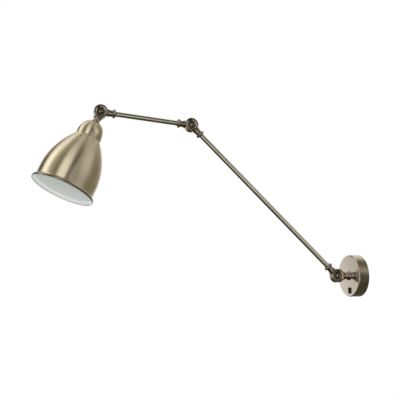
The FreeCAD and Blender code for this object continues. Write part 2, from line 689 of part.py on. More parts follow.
def lampholder_body():
    """Moulded E27 holder: threaded entry, round body, shoulder and a skirt for the shade ring."""
    entry_end = HOLDER_TOP + HOLDER_ENTRY_L
    body_start = entry_end + HOLDER_CONE_L
    shoulder_start = SHADE_TOP - HOLDER_SHOULDER_T
    well_start = SHELL_START - CONTACT_WELL_L
    return turned((HOLDER_TOP, NIPPLE_R), (HOLDER_TOP, HOLDER_TOP_R), (entry_end, HOLDER_TOP_R),
                  (body_start, HOLDER_R), (shoulder_start, HOLDER_R), (shoulder_start, HOLDER_SHOULDER_R),
                  (SHADE_TOP, HOLDER_SHOULDER_R), (SHADE_TOP, HOLDER_SKIRT_R), (SKIRT_END, HOLDER_SKIRT_R),
                  (SKIRT_END, HOLDER_BORE_R), (SHELL_START, HOLDER_BORE_R), (SHELL_START, CONTACT_WELL_R),
                  (well_start, CONTACT_WELL_R), (well_start, NIPPLE_BORE_R), (entry_end, NIPPLE_BORE_R),
                  (entry_end, NIPPLE_R))


def screw_shell():
    """Brass screw shell; its inside is the lamp's thread."""
    outer = SHELL_R + SHELL_WALL
    base = SHELL_START + SHELL_WALL
    return turned((SHELL_START, SHELL_BASE_R), (SHELL_START, outer), (SHELL_END, outer),
                  (SHELL_END, SHELL_R), (base, SHELL_R), (base, SHELL_BASE_R))


def centre_contact():
    """Sprung centre contact in its well."""
    start = SHELL_START - CONTACT_WELL_L
    return turned((start, 0), (start, CONTACT_R), (start + CONTACT_H / 2, CONTACT_R),
                  (start + CONTACT_H, CONTACT_R / 2), (start + CONTACT_H, 0))


def shade_ring():
    """Ribbed ring on the skirt, which clamps the shade's flange to the holder's shoulder."""
    start = SHADE_TOP + SHADE_WALL
    blank = ring(start, start + SHADE_RING_L, SHADE_RING_R, HOLDER_SKIRT_R + THREAD_GAP)
    foot = flat(start, SHADE_RING_R + SHADE_RING_RIB_R / 2)
    grooves = []
    for k in range(SHADE_RING_RIBS):
        groove = Part.makeCylinder(SHADE_RING_RIB_R, SHADE_RING_L, foot, Vector(0, -1, 0))
        groove.rotate(Vector(0, 0, 0), Vector(0, 1, 0), k * 360 / SHADE_RING_RIBS)
        grooves.append(groove)
    return blank.cut(grooves)


def head_pieces():
    """Everything that tilts with the shade, apart from its knuckle half."""
    nipple = ring(NECK_END - NIPPLE_IN_NECK, HOLDER_TOP + HOLDER_ENTRY_L, NIPPLE_R, NIPPLE_BORE_R)
    nut_start = CAP_TOP + CAP_WALL
    nut = hexagon(NUT_AF, nut_start, nut_start + NUT_T).cut(ring(nut_start, nut_start + NUT_T, NIPPLE_R))
    pieces = {
        "cap_ring": cap_ring(),
        "head_nipple": nipple,
        "shade_cap": shade_cap(),
        "cap_nut": nut,
        "lampholder_body": lampholder_body(),
        "screw_shell": screw_shell(),
        "centre_contact": centre_contact(),
        "shade_ring": shade_ring(),
        "shade": shade(),
    }
    return {name: along_arm(shape, SHADE_JOINT, SHADE_ANGLE) for name, shape in pieces.items()}


def build():
    """All pieces of the lamp, by node name."""
    pieces = {
        "wall_plate": wall_plate(),
        "mounting_bracket": mounting_bracket(),
        "plate_screws": plate_screws(),
        "earth_screw": earth_screw(),
        "terminal_block": terminal_block(),
        "terminal_screws": terminal_screws(),
        "switch_housing": switch_housing(),
        "switch_rocker": switch_rocker(),
        "switch_terminals": switch_terminals(),
    }
    pieces.update(wall_stem_pieces())
    pieces.update(knuckle_pieces("wall", WALL_JOINT, 0, LOWER_ARM_ANGLE,
                                 "wall_knuckle_fixed_half", "wall_knuckle_arm_half"))
    pieces.update(arm_pieces("lower_arm", WALL_JOINT, LOWER_ARM_ANGLE, LOWER_ARM_L, "wall", "elbow"))
    pieces.update(knuckle_pieces("elbow", ELBOW_JOINT, LOWER_ARM_ANGLE, UPPER_ARM_ANGLE,
                                 "elbow_knuckle_lower_half", "elbow_knuckle_upper_half"))
    pieces.update(arm_pieces("upper_arm", ELBOW_JOINT, UPPER_ARM_ANGLE, UPPER_ARM_L, "elbow", "shade"))
    pieces.update(knuckle_pieces("shade", SHADE_JOINT, UPPER_ARM_ANGLE, SHADE_ANGLE,
                                 "shade_knuckle_arm_half", "shade_knuckle_head_half"))
    pieces.update(head_pieces())
    return pieces


os.makedirs("parts", exist_ok=True)
for node, shape in build().items():
    shape.exportStep("parts/" + node + ".step")
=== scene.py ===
"""Looks of an articulating wall lamp: antique brass plate, arms and spun bell shade.

Everything is in metres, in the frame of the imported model. Sizes in the sections are in millimetres,
measured as the real pieces are, and become metres when a piece is put in its place.
"""

import json
import math

import bmesh
import bpy
from mathutils import Matrix, Vector


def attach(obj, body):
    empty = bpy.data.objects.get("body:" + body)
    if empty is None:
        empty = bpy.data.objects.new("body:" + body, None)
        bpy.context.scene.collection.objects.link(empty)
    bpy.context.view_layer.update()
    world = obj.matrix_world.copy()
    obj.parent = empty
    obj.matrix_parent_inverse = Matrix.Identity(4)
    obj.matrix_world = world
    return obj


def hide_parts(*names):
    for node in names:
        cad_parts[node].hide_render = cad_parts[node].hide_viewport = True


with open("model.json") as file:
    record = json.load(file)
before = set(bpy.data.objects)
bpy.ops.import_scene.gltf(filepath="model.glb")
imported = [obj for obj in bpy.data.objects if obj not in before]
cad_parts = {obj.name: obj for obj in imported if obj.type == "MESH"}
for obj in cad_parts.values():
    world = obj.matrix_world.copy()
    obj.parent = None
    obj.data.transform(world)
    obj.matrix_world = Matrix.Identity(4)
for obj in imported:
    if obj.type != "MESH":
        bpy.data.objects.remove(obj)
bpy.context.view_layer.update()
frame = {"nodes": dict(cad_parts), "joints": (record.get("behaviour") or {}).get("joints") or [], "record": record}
scene = bpy.context.scene

# ---- Camera and studio ----
# The lamp is seen from its wall side, a little from below, as the photograph shows it. It hangs in
# a white studio: soft boxes give brass its bright bands, and black flags give it the dark ones.
scene.view_settings.view_transform = "Standard"


def linked(name, data):
    """Puts a camera, light or mesh in the scene."""
    made = bpy.data.objects.new(name, data)
    scene.collection.objects.link(made)
    return made


camera = linked("camera", bpy.data.cameras.new("camera"))
camera.location = (1.35524, -0.81554, -0.15015)
camera.rotation_euler = [math.radians(angle) for angle in (103.0319, 1.6029, 73.4952)]
camera.data.sensor_width = 36
camera.data.lens = 55.40
camera.data.clip_start = 0.01
scene.camera = camera


def linear(colour):
    """An sRGB hex colour as the linear values that a shader takes."""
    parts = [int(colour[k:k + 2], 16) / 255 for k in (1, 3, 5)]
    return [p / 12.92 if p <= 0.04045 else ((p + 0.055) / 1.055) ** 2.4 for p in parts] + [1]


def add(tree, kind, inputs=None, **settings):
    """Adds one node, with its settings and with a value or a link for each input it names."""
    node = tree.nodes.new(kind)
    for key, value in settings.items():
        setattr(node, key, value)
    for key, value in (inputs or {}).items():
        if isinstance(value, bpy.types.Node):
            value = value.outputs[0]
        if isinstance(value, bpy.types.NodeSocket):
            tree.links.new(value, node.inputs[key])
        else:
            node.inputs[key].default_value = value
    return node


# What metal sees of the studio. The soft boxes and flags stand along the shade, so each is given by
# the azimuth and elevation of its middle about the shade's axis, its half width and half height, how
# soft its edge is, all in degrees, and its level, where white is 1.
STUDIO_LEAN = 23.6
STUDIO_ABOVE = 0.42
STUDIO_BELOW = 0.08
STUDIO_HORIZON = (-4, 31)        # degrees over which it goes from the one to the other
STUDIO_FILL = 0.75               # what paint and plastic see from every side
STUDIO_SHADE = (1.16, 1.0, 0.52, 1)
PANELS = [
    (-100, 24, 14, 34, 15, 2.2),     # tall soft box at the shade's mouth side
    (-63, 24, 14, 60, 13, 0.26),     # flag between the two boxes
    (-27, -2, 16, 38, 9, 1.66),      # narrow box nearer the camera
    (0, 30, 12, 60, 8, 0.03),        # black flag in front of the camera
    (52, 34, 28, 16, 22, 1.35),      # pale wall to the right
    (101, 13, 30, 41, 34, 0.31),     # curtain beyond it
    (4, -26, 21, 11, 5, 1.7),        # low strip light for the tubes
    (9, 8, 5, 12, 4, 0.8),           # narrow white card above it
    (25, 12, 11, 9, 6, 0.07),        # black card beside that
    (56, -57, 40, 14, 9, 0.08),      # dark floor to the right
    (-164, 13, 15, 34, 14, 1.36),    # white board that the plate's face mirrors
    (-129, 18, 10, 30, 8, 0.04),     # flag beside it
    (160, 23, 16, 30, 20, 1.2),      # window far behind
    (178, 66, 52, 17, 8, 1.6),       # box overhead, towards the wall
    (0, 90, 180, 8, 5, 1.2),         # and its fill
    (-90, -27, 24, 15, 7, 0.9),      # white card low in front of the wall
]
world = bpy.data.worlds.new("studio")
scene.world = world
world.use_nodes = True
tree = world.node_tree
tree.nodes.clear()
direction = add(tree, "ShaderNodeTexCoord").outputs["Generated"]
leant = add(tree, "ShaderNodeVectorRotate", {"Vector": direction, "Angle": math.radians(STUDIO_LEAN)},
            rotation_type="X_AXIS")
axes = add(tree, "ShaderNodeSeparateXYZ", {0: leant})
turned = add(tree, "ShaderNodeMath", {0: axes.outputs[1], 1: axes.outputs[0]}, operation="ARCTAN2")
raised = add(tree, "ShaderNodeMath", {0: axes.outputs[2]}, operation="ARCSINE")
azimuth = add(tree, "ShaderNodeMath", {0: turned}, operation="DEGREES")
elevation = add(tree, "ShaderNodeMath", {0: raised}, operation="DEGREES")
level = add(tree, "ShaderNodeMapRange", {
    0: elevation, 1: STUDIO_HORIZON[0], 2: STUDIO_HORIZON[1], 3: STUDIO_BELOW, 4: STUDIO_ABOVE},
            interpolation_type="SMOOTHSTEP").outputs[0]
for panel_azimuth, panel_elevation, half_width, half_height, soft, brightness in PANELS:
    across = add(tree, "ShaderNodeMath", {0: azimuth, 1: panel_azimuth}, operation="SUBTRACT")
    across = add(tree, "ShaderNodeMath", {0: across, 1: 180, 2: -180}, operation="WRAP")
    upwards = add(tree, "ShaderNodeMath", {0: elevation, 1: panel_elevation}, operation="SUBTRACT")
    inside = []
    for away, half in ((across, half_width), (upwards, half_height)):
        away = add(tree, "ShaderNodeMath", {0: away}, operation="ABSOLUTE")
        inside.append(add(tree, "ShaderNodeMapRange", {
            0: away, 1: half + soft / 2, 2: half - soft / 2, 3: 0, 4: 1}, interpolation_type="SMOOTHSTEP"))
    share = add(tree, "ShaderNodeMath", {0: inside[0], 1: inside[1]}, operation="MULTIPLY")
    level = add(tree, "ShaderNodeMix", {0: share, 2: level, 3: brightness}, data_type="FLOAT").outputs[0]
path = add(tree, "ShaderNodeLightPath")
seen = add(tree, "ShaderNodeMath", {
    0: path.outputs["Is Camera Ray"], 1: path.outputs["Is Transmission Ray"]}, operation="MAXIMUM")
reflected = add(tree, "ShaderNodeMix", {0: path.outputs["Is Glossy Ray"], 2: STUDIO_FILL, 3: level},
                data_type="FLOAT").outputs[0]
strength = add(tree, "ShaderNodeMix", {0: seen, 2: reflected, 3: 1.0}, data_type="FLOAT").outputs[0]
lit = add(tree, "ShaderNodeMapRange", {0: strength, 1: 0, 2: 0.7, 3: 0, 4: 1})
tint = add(tree, "ShaderNodeMix", {0: lit, 6: STUDIO_SHADE, 7: (1, 1, 1, 1)}, data_type="RGBA")
background = add(tree, "ShaderNodeBackground", {"Color": tint.outputs[2], "Strength": strength})
add(tree, "ShaderNodeOutputWorld", {"Surface": background})


def soft_box(name, location, target, size, power):
    """An area light that lights paint and plastic; the panels above stand for it in the metal."""
    lamp = bpy.data.lights.new(name, "AREA")
    lamp.shape, lamp.size, lamp.energy = "SQUARE", size, power
    box = linked(name, lamp)
    box.location = location
    box.rotation_euler = (Vector(target) - Vector(location)).to_track_quat("-Z", "Y").to_euler()
    box.visible_glossy = False


soft_box("key_light", (0.9, -1.6, 1.7), (0, -0.4, 0.15), 1.4, 26)
soft_box("low_light", (0.9, -1.5, -0.9), (0, -0.6, 0.2), 1.0, 5)

FLOOR_Z = -0.76                  # below the shade when both arms hang down
FLOOR_R = 1.1
FLOOR_CENTRE = (0, -0.35)


def outward(mesh, data=None):
    """Ends a bmesh as a new mesh or in a given one, with its faces turned outward."""
    data = data or bpy.data.meshes.new("shape")
    bmesh.ops.recalc_face_normals(mesh, faces=mesh.faces)
    mesh.to_mesh(data)
    mesh.free()
    return data


def floor_disc():
    """A flat disc below the lamp."""
    mesh = bmesh.new()
    bmesh.ops.create_circle(mesh, cap_ends=True, segments=96, radius=FLOOR_R)
    bmesh.ops.translate(mesh, verts=mesh.verts, vec=(*FLOOR_CENTRE, FLOOR_Z))
    return outward(mesh)


def new_material(name):
    """A material and its node tree, which is still empty."""
    material = bpy.data.materials.new(name)
    material.use_nodes = True
    material.node_tree.nodes.clear()
    return material, material.node_tree


floor = linked("floor", floor_disc())
# Matt white floor paint, rolled on: no shine, and it fades out towards the white studio.
floor_paint, tree = new_material("matt_white_floor_paint")
place = add(tree, "ShaderNodeTexCoord").outputs["Object"]
from_centre = add(tree, "ShaderNodeVectorMath", {0: place, 1: (*FLOOR_CENTRE, FLOOR_Z)},
                  operation="SUBTRACT")
distance = add(tree, "ShaderNodeVectorMath", {0: from_centre}, operation="LENGTH").outputs["Value"]
fade = add(tree, "ShaderNodeMapRange", {0: distance, 1: FLOOR_R * 0.45, 2: FLOOR_R * 0.98, 3: 0, 4: 1},
           interpolation_type="SMOOTHSTEP")
paint = add(tree, "ShaderNodeBsdfPrincipled", {"Base Color": linear("#EFEEEA"), "Roughness": 0.9})
clear = add(tree, "ShaderNodeBsdfTransparent")
mixed = add(tree, "ShaderNodeMixShader", {0: fade, 1: paint, 2: clear})
add(tree, "ShaderNodeOutputMaterial", {"Surface": mixed})
floor.data.materials.append(floor_paint)
floor.visible_glossy = False

# ---- Wall plate ----
# A deep drawn brass cup, 102 mm across, turned fine on its face and lacquered in antique brass.
# Two grub screws in its rim hold it on a steel bracket, and the first knuckle stands at its centre.
MM = 0.001
PLATE_R = 51.0
PLATE_DEPTH = 26.6
PLATE_WALL = 1.2
PLATE_EDGE_R = 2.4
NIPPLE_R = 5.0
NIPPLE_HOLE_R = NIPPLE_R + 0.1
SCREW_HOLE_R = 2.1
SCREW_HOLE_Y = 8.0
SWITCH_Z = -36.0
SWITCH_CUT = (4.7, 6.9)          # half of the cut-out's width and height


def stand(point, heading):
    """From a piece's own millimetres, made along Z, to metres along a heading from a point."""
    z = Vector(heading).normalized()
    x = Vector((1, 0, 0))
    turn = Matrix((x, z.cross(x), z)).transposed().to_4x4()
    return Matrix.Translation(Vector(point)) @ turn @ Matrix.Scale(MM, 4)


def rounded(corners, steps=4):
    """A closed outline from corners (along, out, fillet radius), with each fillet as an arc."""
    outline = []
    for k, (along, out, radius) in enumerate(corners):
        if radius == 0:
            outline.append((along, out))
            continue
        here = Vector((along, out))
        before, after = ((Vector(corners[(k + side) % len(corners)][:2]) - here).normalized()
                         for side in (-1, 1))
        half = before.angle(after) / 2
        centre = here + (before + after).normalized() * radius / math.sin(half)
        first = here + before * radius / math.tan(half) - centre
        last = here + after * radius / math.tan(half) - centre
        total = first.angle_signed(last)
        for step in range(steps + 1):
            outline.append(tuple(centre + Matrix.Rotation(-total * step / steps, 2) @ first))
    return outline


def polar(radius, angle, along):
    """The place of a point at a radius and an angle about Z."""
    return radius * math.cos(angle), radius * math.sin(angle), along


def turn(outline, steps=96):
    """A closed outline turned about Z, as a mesh whose UV map runs along the outline and round."""
    mesh = bmesh.new()
    uv = mesh.loops.layers.uv.new("turning")
    count = len(outline)
    lengths = [0]
    for k in range(count):
        (a, b), (c, d) = outline[k], outline[(k + 1) % count]
        lengths.append(lengths[-1] + math.hypot(c - a, d - b))
    rows = []
    for along, out in outline:
        if abs(out) < 1e-6:
            rows.append([mesh.verts.new((0, 0, along))] * steps)
        else:
            rows.append([mesh.verts.new(polar(out, math.tau * j / steps, along)) for j in range(steps)])
    for k in range(count):
        low, high = rows[k], rows[(k + 1) % count]
        low_r, high_r = outline[k][1], outline[(k + 1) % count][1]
        for j in range(steps):
            n = (j + 1) % steps
            ring = [(low[j], lengths[k], j, low_r), (low[n], lengths[k], j + 1, low_r),
                    (high[n], lengths[k + 1], j + 1, high_r), (high[j], lengths[k + 1], j, high_r)]
            corners = {}
            for corner in ring:
                corners.setdefault(corner[0], corner)
            if len(corners) < 3:
                continue
            face = mesh.faces.new(corners)
            for loop, (_, s, around, radius) in zip(face.loops, corners.values()):
                loop[uv].uv = (s * MM, math.tau * around / steps * max(radius, 0.5) * MM)
    return outward(mesh)


def skin(mesh, rows, closed=True):
    """Faces from each row of points to the next, all the way round or up to the rows' ends."""
    for a, b in zip(rows, rows[1:]):
        for k in range(len(a) if closed else len(a) - 1):
            n = (k + 1) % len(a)
            mesh.faces.new((a[k], a[n], b[n], b[k]))


def bar(outline, low, high, edge=0.0):
    """A flat outline (x, y) as a bar along Z, with its end edges broken by a small chamfer."""
    mesh = bmesh.new()
    middle = Vector((sum(p[0] for p in outline), sum(p[1] for p in outline))) / len(outline)
    rows = []
    levels = [(low, 0), (high, 0)]
    if edge:
        levels = [(low, edge), (low + edge, 0), (high - edge, 0), (high, edge)]
    for z, inset in levels:
        row = []
        for point in outline:
            away = Vector(point) - middle
            spot = middle + away * (1 - inset / away.length)
            row.append(mesh.verts.new((spot.x, spot.y, z)))
        rows.append(row)
    skin(mesh, rows)
    mesh.faces.new(rows[0])
    mesh.faces.new(rows[-1])
    return outward(mesh)


def polygon(sides, radius):
    return [polar(radius, math.tau * k / sides, 0)[:2] for k in range(sides)]


def rectangle(half_x, half_y):
    return [(-half_x, -half_y), (half_x, -half_y), (half_x, half_y), (-half_x, half_y)]


def moved(data, matrix):
    data.transform(matrix)
    if matrix.determinant() < 0:
        data.flip_normals()
    return data


def applied(made):
    """The mesh of an object with its modifiers."""
    bpy.context.view_layer.update()
    return bpy.data.meshes.new_from_object(made.evaluated_get(bpy.context.evaluated_depsgraph_get()))


def worked(data, *tools):
    """Joins meshes to a blank or cuts them from it. Each tool is a boolean's name and a mesh."""
    blank = linked("blank", data)
    cutters = []
    for how, tool in tools:
        cutters.append(linked("cutter", tool))
        step = blank.modifiers.new("step", "BOOLEAN")
        step.operation, step.solver, step.object = how, "EXACT", cutters[-1]
    result = applied(blank)
    for gone in [blank] + cutters:
        bpy.data.objects.remove(gone)
    return result


def coat(data, material):
    data.materials.clear()
    data.materials.append(material)


def whole(name, data, body, slot, *nodes, sharp=32):
    """Makes an object of a mesh in its place and finish, smooth but for its sharp edges, puts it on its body and
    hides the CAD nodes it stands for.
    """
    data.name = name
    data.polygons.foreach_set("use_smooth", [True] * len(data.polygons))
    data.set_sharp_from_angle(angle=math.radians(sharp))
    made = linked(name, data)
    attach(made, body)
    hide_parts(*nodes)
    return made


def piece(name, data, body, slot, material, *nodes, place, **edges):
    """Gives a mesh its place and finish, makes an object of it and evens its shading."""
    coat(moved(data, place), material)
    made = whole(name, data, body, slot, *nodes, **edges)
    even = made.modifiers.new("even_shading", "WEIGHTED_NORMAL")
    even.keep_sharp = True
    return made


def antique_brass(name, body, patina, roughness, stretch, mark, relief=0.0):
    """Brass toned with patina, rubbed back and lacquered, darkened in its hollows towards the patina tone: patina
    there, and painted shade. Its marks run round it, mark mm apart.
    """
    material, tree = new_material(name)
    turning = add(tree, "ShaderNodeUVMap", uv_map="turning")
    along = add(tree, "ShaderNodeSeparateXYZ", {0: turning}).outputs[0]
    where = add(tree, "ShaderNodeTexCoord").outputs["Object"]
    marks = add(tree, "ShaderNodeTexNoise", {
        "W": along, "Scale": 1 / (mark * MM), "Detail": 3, "Roughness": 0.6}, noise_dimensions="1D")
    cloud = add(tree, "ShaderNodeTexNoise", {"Vector": where, "Scale": 45, "Detail": 3, "Roughness": 0.5})
    clouded = add(tree, "ShaderNodeMapRange", {0: cloud, 1: 0.35, 2: 0.75, 3: 0, 4: 0.28})
    streaked = add(tree, "ShaderNodeMapRange", {0: marks, 1: 0.35, 2: 0.75, 3: 0, 4: 0.22})
    # Ambient occlusion draws the colour towards the patina tone where the surface is closed in: patina in the
    # hollows, and painted shade.
    closed = add(tree, "ShaderNodeAmbientOcclusion", {"Distance": 0.004}, samples=8)
    patina_and_painted_shade = add(tree, "ShaderNodeMapRange", {0: closed.outputs["AO"], 1: 0.8, 2: 0.4, 3: 0, 4: 0.9})
    patina_and_shade_share = add(tree, "ShaderNodeMath", {0: clouded, 1: streaked}, operation="ADD")
    patina_and_shade_share = add(tree, "ShaderNodeMath", {0: patina_and_shade_share, 1: patina_and_painted_shade}, operation="MAXIMUM")
    toned = add(tree, "ShaderNodeMix", {0: patina_and_shade_share, 6: linear(body), 7: linear(patina)}, data_type="RGBA")
    gloss = add(tree, "ShaderNodeMapRange", {
        0: marks, 1: 0.3, 2: 0.7, 3: roughness - 0.02, 4: roughness + 0.02})
    ridges = add(tree, "ShaderNodeBump", {"Height": marks, "Strength": relief, "Distance": 0.00001})
    tangent = add(tree, "ShaderNodeTangent", direction_type="UV_MAP", uv_map="turning")
    metal = add(tree, "ShaderNodeBsdfPrincipled", {
        "Base Color": toned.outputs[2], "Metallic": 1.0, "Roughness": gloss, "Anisotropic": stretch,
        "Tangent": tangent, "Normal": ridges})
    add(tree, "ShaderNodeOutputMaterial", {"Surface": metal})
    return material


# Antique brass, turned on a lathe, rubbed back and lacquered: a pale, quiet sheen on the face.
plate_brass = antique_brass("turned_antique_brass", "#D3CABB", "#C0B6A2", 0.18, 0.3, 1.5)
# The same brass made darker and browner for the cup's side: painted shade, as the side looks darker than the face.
shaded_side_brass = antique_brass("cup_side_painted_shade", "#988E7E", "#80745F", 0.30, 0.5, 1.0)


def wall_plate():
    """The cup's wall is drawn from outside to inside, with a rounded edge and a rim on the wall."""
    wall, depth, edge = PLATE_WALL, PLATE_DEPTH, PLATE_EDGE_R
    outline = rounded([
        (depth, NIPPLE_HOLE_R, 0.15), (depth, PLATE_R, edge), (0, PLATE_R, 0.3), (0, PLATE_R - wall, 0.3),
        (depth - wall, PLATE_R - wall, edge - wall), (depth - wall, NIPPLE_HOLE_R, 0.15)], 6)
    cup = turn(outline, 192)
    punch = bar([(-x, -z) for x, z in rectangle(*SWITCH_CUT)], depth - 5, depth + 5)
    tools = [("DIFFERENCE", moved(punch, Matrix.Translation((0, SWITCH_Z, 0))))]
    for side in (-1, 1):
        drill = bar(polygon(32, SCREW_HOLE_R), PLATE_R - 6, PLATE_R + 6)
        aside = Matrix.Rotation(math.radians(side * 90), 4, "X")
        drill.transform(Matrix.Translation((0, 0, SCREW_HOLE_Y)) @ aside)
        tools.append(("DIFFERENCE", drill))
    return worked(cup, *tools)


on_wall = stand((0, 0, 0), (0, -1, 0))
cup = piece("wall_plate_cup", wall_plate(), "wall_mount", "antique_brass_plate", plate_brass, "wall_plate",
            place=on_wall)
# The faces off the front take the darker copy of the brass: painted shade on the cup's side.
cup.data.materials.append(shaded_side_brass)
for face in cup.data.polygons:
    face.material_index = int(face.center.y > (PLATE_EDGE_R / 3 - PLATE_DEPTH) * MM)

# ---- Bracket, screws and terminal block ----
# Behind the plate, a bracket pressed from 2 mm steel and zinc plated, with the earth screw and a
# white nylon terminal strip on it. The plate hides them, but they show from the wall's side.


def plain_finish(name, colour, other, roughness, grain, bump, metallic=0.0, contrast=0.5, specular=0.5):
    """A moulded, plated or fibrous surface: two tones and a fine relief, grain millimetres across."""
    material, tree = new_material(name)
    where = add(tree, "ShaderNodeTexCoord").outputs["Object"]
    fine = add(tree, "ShaderNodeTexNoise", {"Vector": where, "Scale": 1 / (grain * MM), "Detail": 3})
    wide = add(tree, "ShaderNodeTexNoise", {"Vector": where, "Scale": 60 / grain, "Detail": 4})
    share = add(tree, "ShaderNodeMapRange", {0: wide, 1: 0.35, 2: 0.7, 3: 0, 4: contrast})
    tone = add(tree, "ShaderNodeMix", {0: share, 6: linear(colour), 7: linear(other)}, data_type="RGBA")
    gloss = add(tree, "ShaderNodeMapRange", {
        0: fine, 1: 0.3, 2: 0.7, 3: roughness * 0.85, 4: roughness * 1.15})
    relief = add(tree, "ShaderNodeBump", {"Height": fine, "Strength": bump, "Distance": 0.00005})
    surface = add(tree, "ShaderNodeBsdfPrincipled", {
        "Base Color": tone.outputs[2], "Metallic": metallic, "Roughness": gloss, "Normal": relief,
        "Specular IOR Level": specular})
    add(tree, "ShaderNodeOutputMaterial", {"Surface": surface})
    return material


def finish(material, *nodes):
    """Gives CAD nodes whose shape is right their real finish."""
    for name in nodes:
        coat(frame["nodes"][name].data, material)


# Bright zinc on rolled steel sheet: a pale, bluish shine, clouded where the plating is thicker.
zinc = plain_finish("bright_zinc_plated_steel", "#B9BCC0", "#9FA3A6", 0.34, 0.3, 0.15, metallic=1.0)
# White nylon, injection moulded: a warm white with a dull, waxy gloss.
nylon = plain_finish("moulded_white_nylon", "#E9E7DF", "#DEDBD0", 0.42, 0.25, 0.2)
finish(zinc, "mounting_bracket", "plate_screws", "earth_screw", "terminal_screws")
finish(nylon, "terminal_block")

# ---- Rocker switch ----
# A mini snap-in rocker moulded in black nylon: a bezel with full round corners at its top, a body
# behind the plate, and a rocker with two dished finger pads that turns on its pin.
BEZEL = (5.3, 7.6, 1.8)          # half width, half height and thickness
BODY = (4.6, 6.8, 12.0)
CAVITY = (4.0, 6.2, 6.6)
ROCKER_HALF_W = 3.8
PAD_END = (5.4, 2.4)
PAD_MIDDLE = 1.3
KEEL = (4.25, 2.6)
ROCKER_TILT = 11.0
PIN_R = 1.0

# Black nylon, injection moulded with a fine spark eroded grain: near black, with hardly a shine.
black_nylon = plain_finish("moulded_black_nylon", "#0B0807", "#100C0A", 0.6, 0.2, 0.10, specular=0.2)
# Contact brass, stamped from bright rolled strip and not lacquered: yellow, with a clean shine.
contact_brass = plain_finish("stamped_contact_brass", "#C9A55C", "#B58F48", 0.30, 0.3, 0.15, metallic=1.0)
finish(contact_brass, "switch_terminals")
across_x = Matrix(((0, 0, 1), (1, 0, 0), (0, 1, 0))).to_4x4()


def bulge(start, end, sag, steps=8):
    """Points of an arc between two points that stands off its chord, to the left of its way."""
    a, b = Vector(start), Vector(end)
    chord = b - a
    side = Vector((-chord.y, chord.x)).normalized()
    radius = (chord.length_squared / 4 + sag * sag) / (2 * abs(sag))
    half = math.asin(chord.length / 2 / radius)
    sign = math.copysign(1, sag)
    centre = (a + b) / 2 + side * sign * (abs(sag) - radius)
    points = []
    for step in range(steps + 1):
        angle = -half + 2 * half * step / steps
        points.append(tuple(centre + side * sign * radius * math.cos(angle)
                            + chord.normalized() * radius * math.sin(angle)))
    return points


def switch_housing():
    """The bezel and the body behind it, hollow for the rocker and drilled for its pin."""
    half_x, half_y, thick = BEZEL
    bezel = bar(rounded([(-half_x, -half_y, 1.4), (half_x, -half_y, 1.4), (half_x, half_y, 4.2),
                         (-half_x, half_y, 4.2)], 8), 0, thick, 0.5)
    body = bar(rectangle(*BODY[:2]), -BODY[2], thick / 2, 0.3)
    cavity = bar(rectangle(*CAVITY[:2]), -CAVITY[2], thick + 1)
    pin_hole = moved(bar(polygon(24, PIN_R + 0.06), -BODY[0] - 1, BODY[0] + 1), across_x)
    return worked(bezel, ("UNION", body), ("DIFFERENCE", cavity), ("DIFFERENCE", pin_hole))


def switch_rocker():
    """Two dished pads over a keel, with the pin through it, tilted to one side."""
    end, out = PAD_END
    pads = bulge((end, out), (0, PAD_MIDDLE), -0.25, 6)[:-1] + bulge((0, PAD_MIDDLE), (-end, out), -0.25, 6)
    side = rounded([(*pads[0], 0.5), *[(*point, 0) for point in pads[1:-1]], (*pads[-1], 0.5),
                    (-end, 0, 0.3), (-KEEL[0], -KEEL[1], 0.3), (KEEL[0], -KEEL[1], 0.3), (end, 0, 0.3)])
    rocker = moved(bar(side, -ROCKER_HALF_W, ROCKER_HALF_W, 0.35), across_x)
    pin = moved(bar(polygon(24, PIN_R), -BODY[0], BODY[0]), across_x)
    return moved(worked(rocker, ("UNION", pin)), Matrix.Rotation(math.radians(ROCKER_TILT), 4, "X"))


at_switch = stand((0, -PLATE_DEPTH * MM, SWITCH_Z * MM), (0, -1, 0))
piece("snap_in_switch_body", switch_housing(), "wall_mount", "black_nylon", black_nylon, "switch_housing",
      place=at_switch)
piece("dished_switch_rocker", switch_rocker(), "rocker", "black_nylon", black_nylon, "switch_rocker",
      place=at_switch)

# ---- Friction knuckles ----
# Each joint is two cast and turned brass halves with a fibre washer between them. Each half has a
# dished face, a recess for the pivot screw's head or its nut, and a stem that screws on the nipple.
KNUCKLE_R = 16.5
KNUCKLE_HALF = 9.0
WASHER_T = 0.6
KNUCKLE_EDGE_R = 2.2
DISH_R = 12.4
DISH_DEPTH = 2.6
DISH_CROWN = 0.5
RECESS_R = 8.3
RECESS_FLOOR = 4.5
PIVOT_R = 3.0
SADDLE_R = 8.5
FLANGE = (17.0, 19.0)
FLANGE_R = 10.0
NECK_R = 7.75
NECK_END = 27.5
NIPPLE_IN = 9.0                  # how deep the nipple's thread runs into the neck
SADDLE_FOOT = 0.4                # how far the saddle runs into the flange
DISC_ROOM_R = 14.4
z_to_x = Matrix.Rotation(math.radians(90), 4, "Y")
joint_at = {joint["name"]: Vector(joint["pos_m"]) for joint in frame["joints"]}

# Dark antique bronze, cast, turned, toned and polished: near black in the grooves, from patina and painted shade,
# bright on rounds.
knuckle_bronze = antique_brass("dark_antique_bronze", "#A1978A", "#251D16", 0.14, 0.2, 2.5)


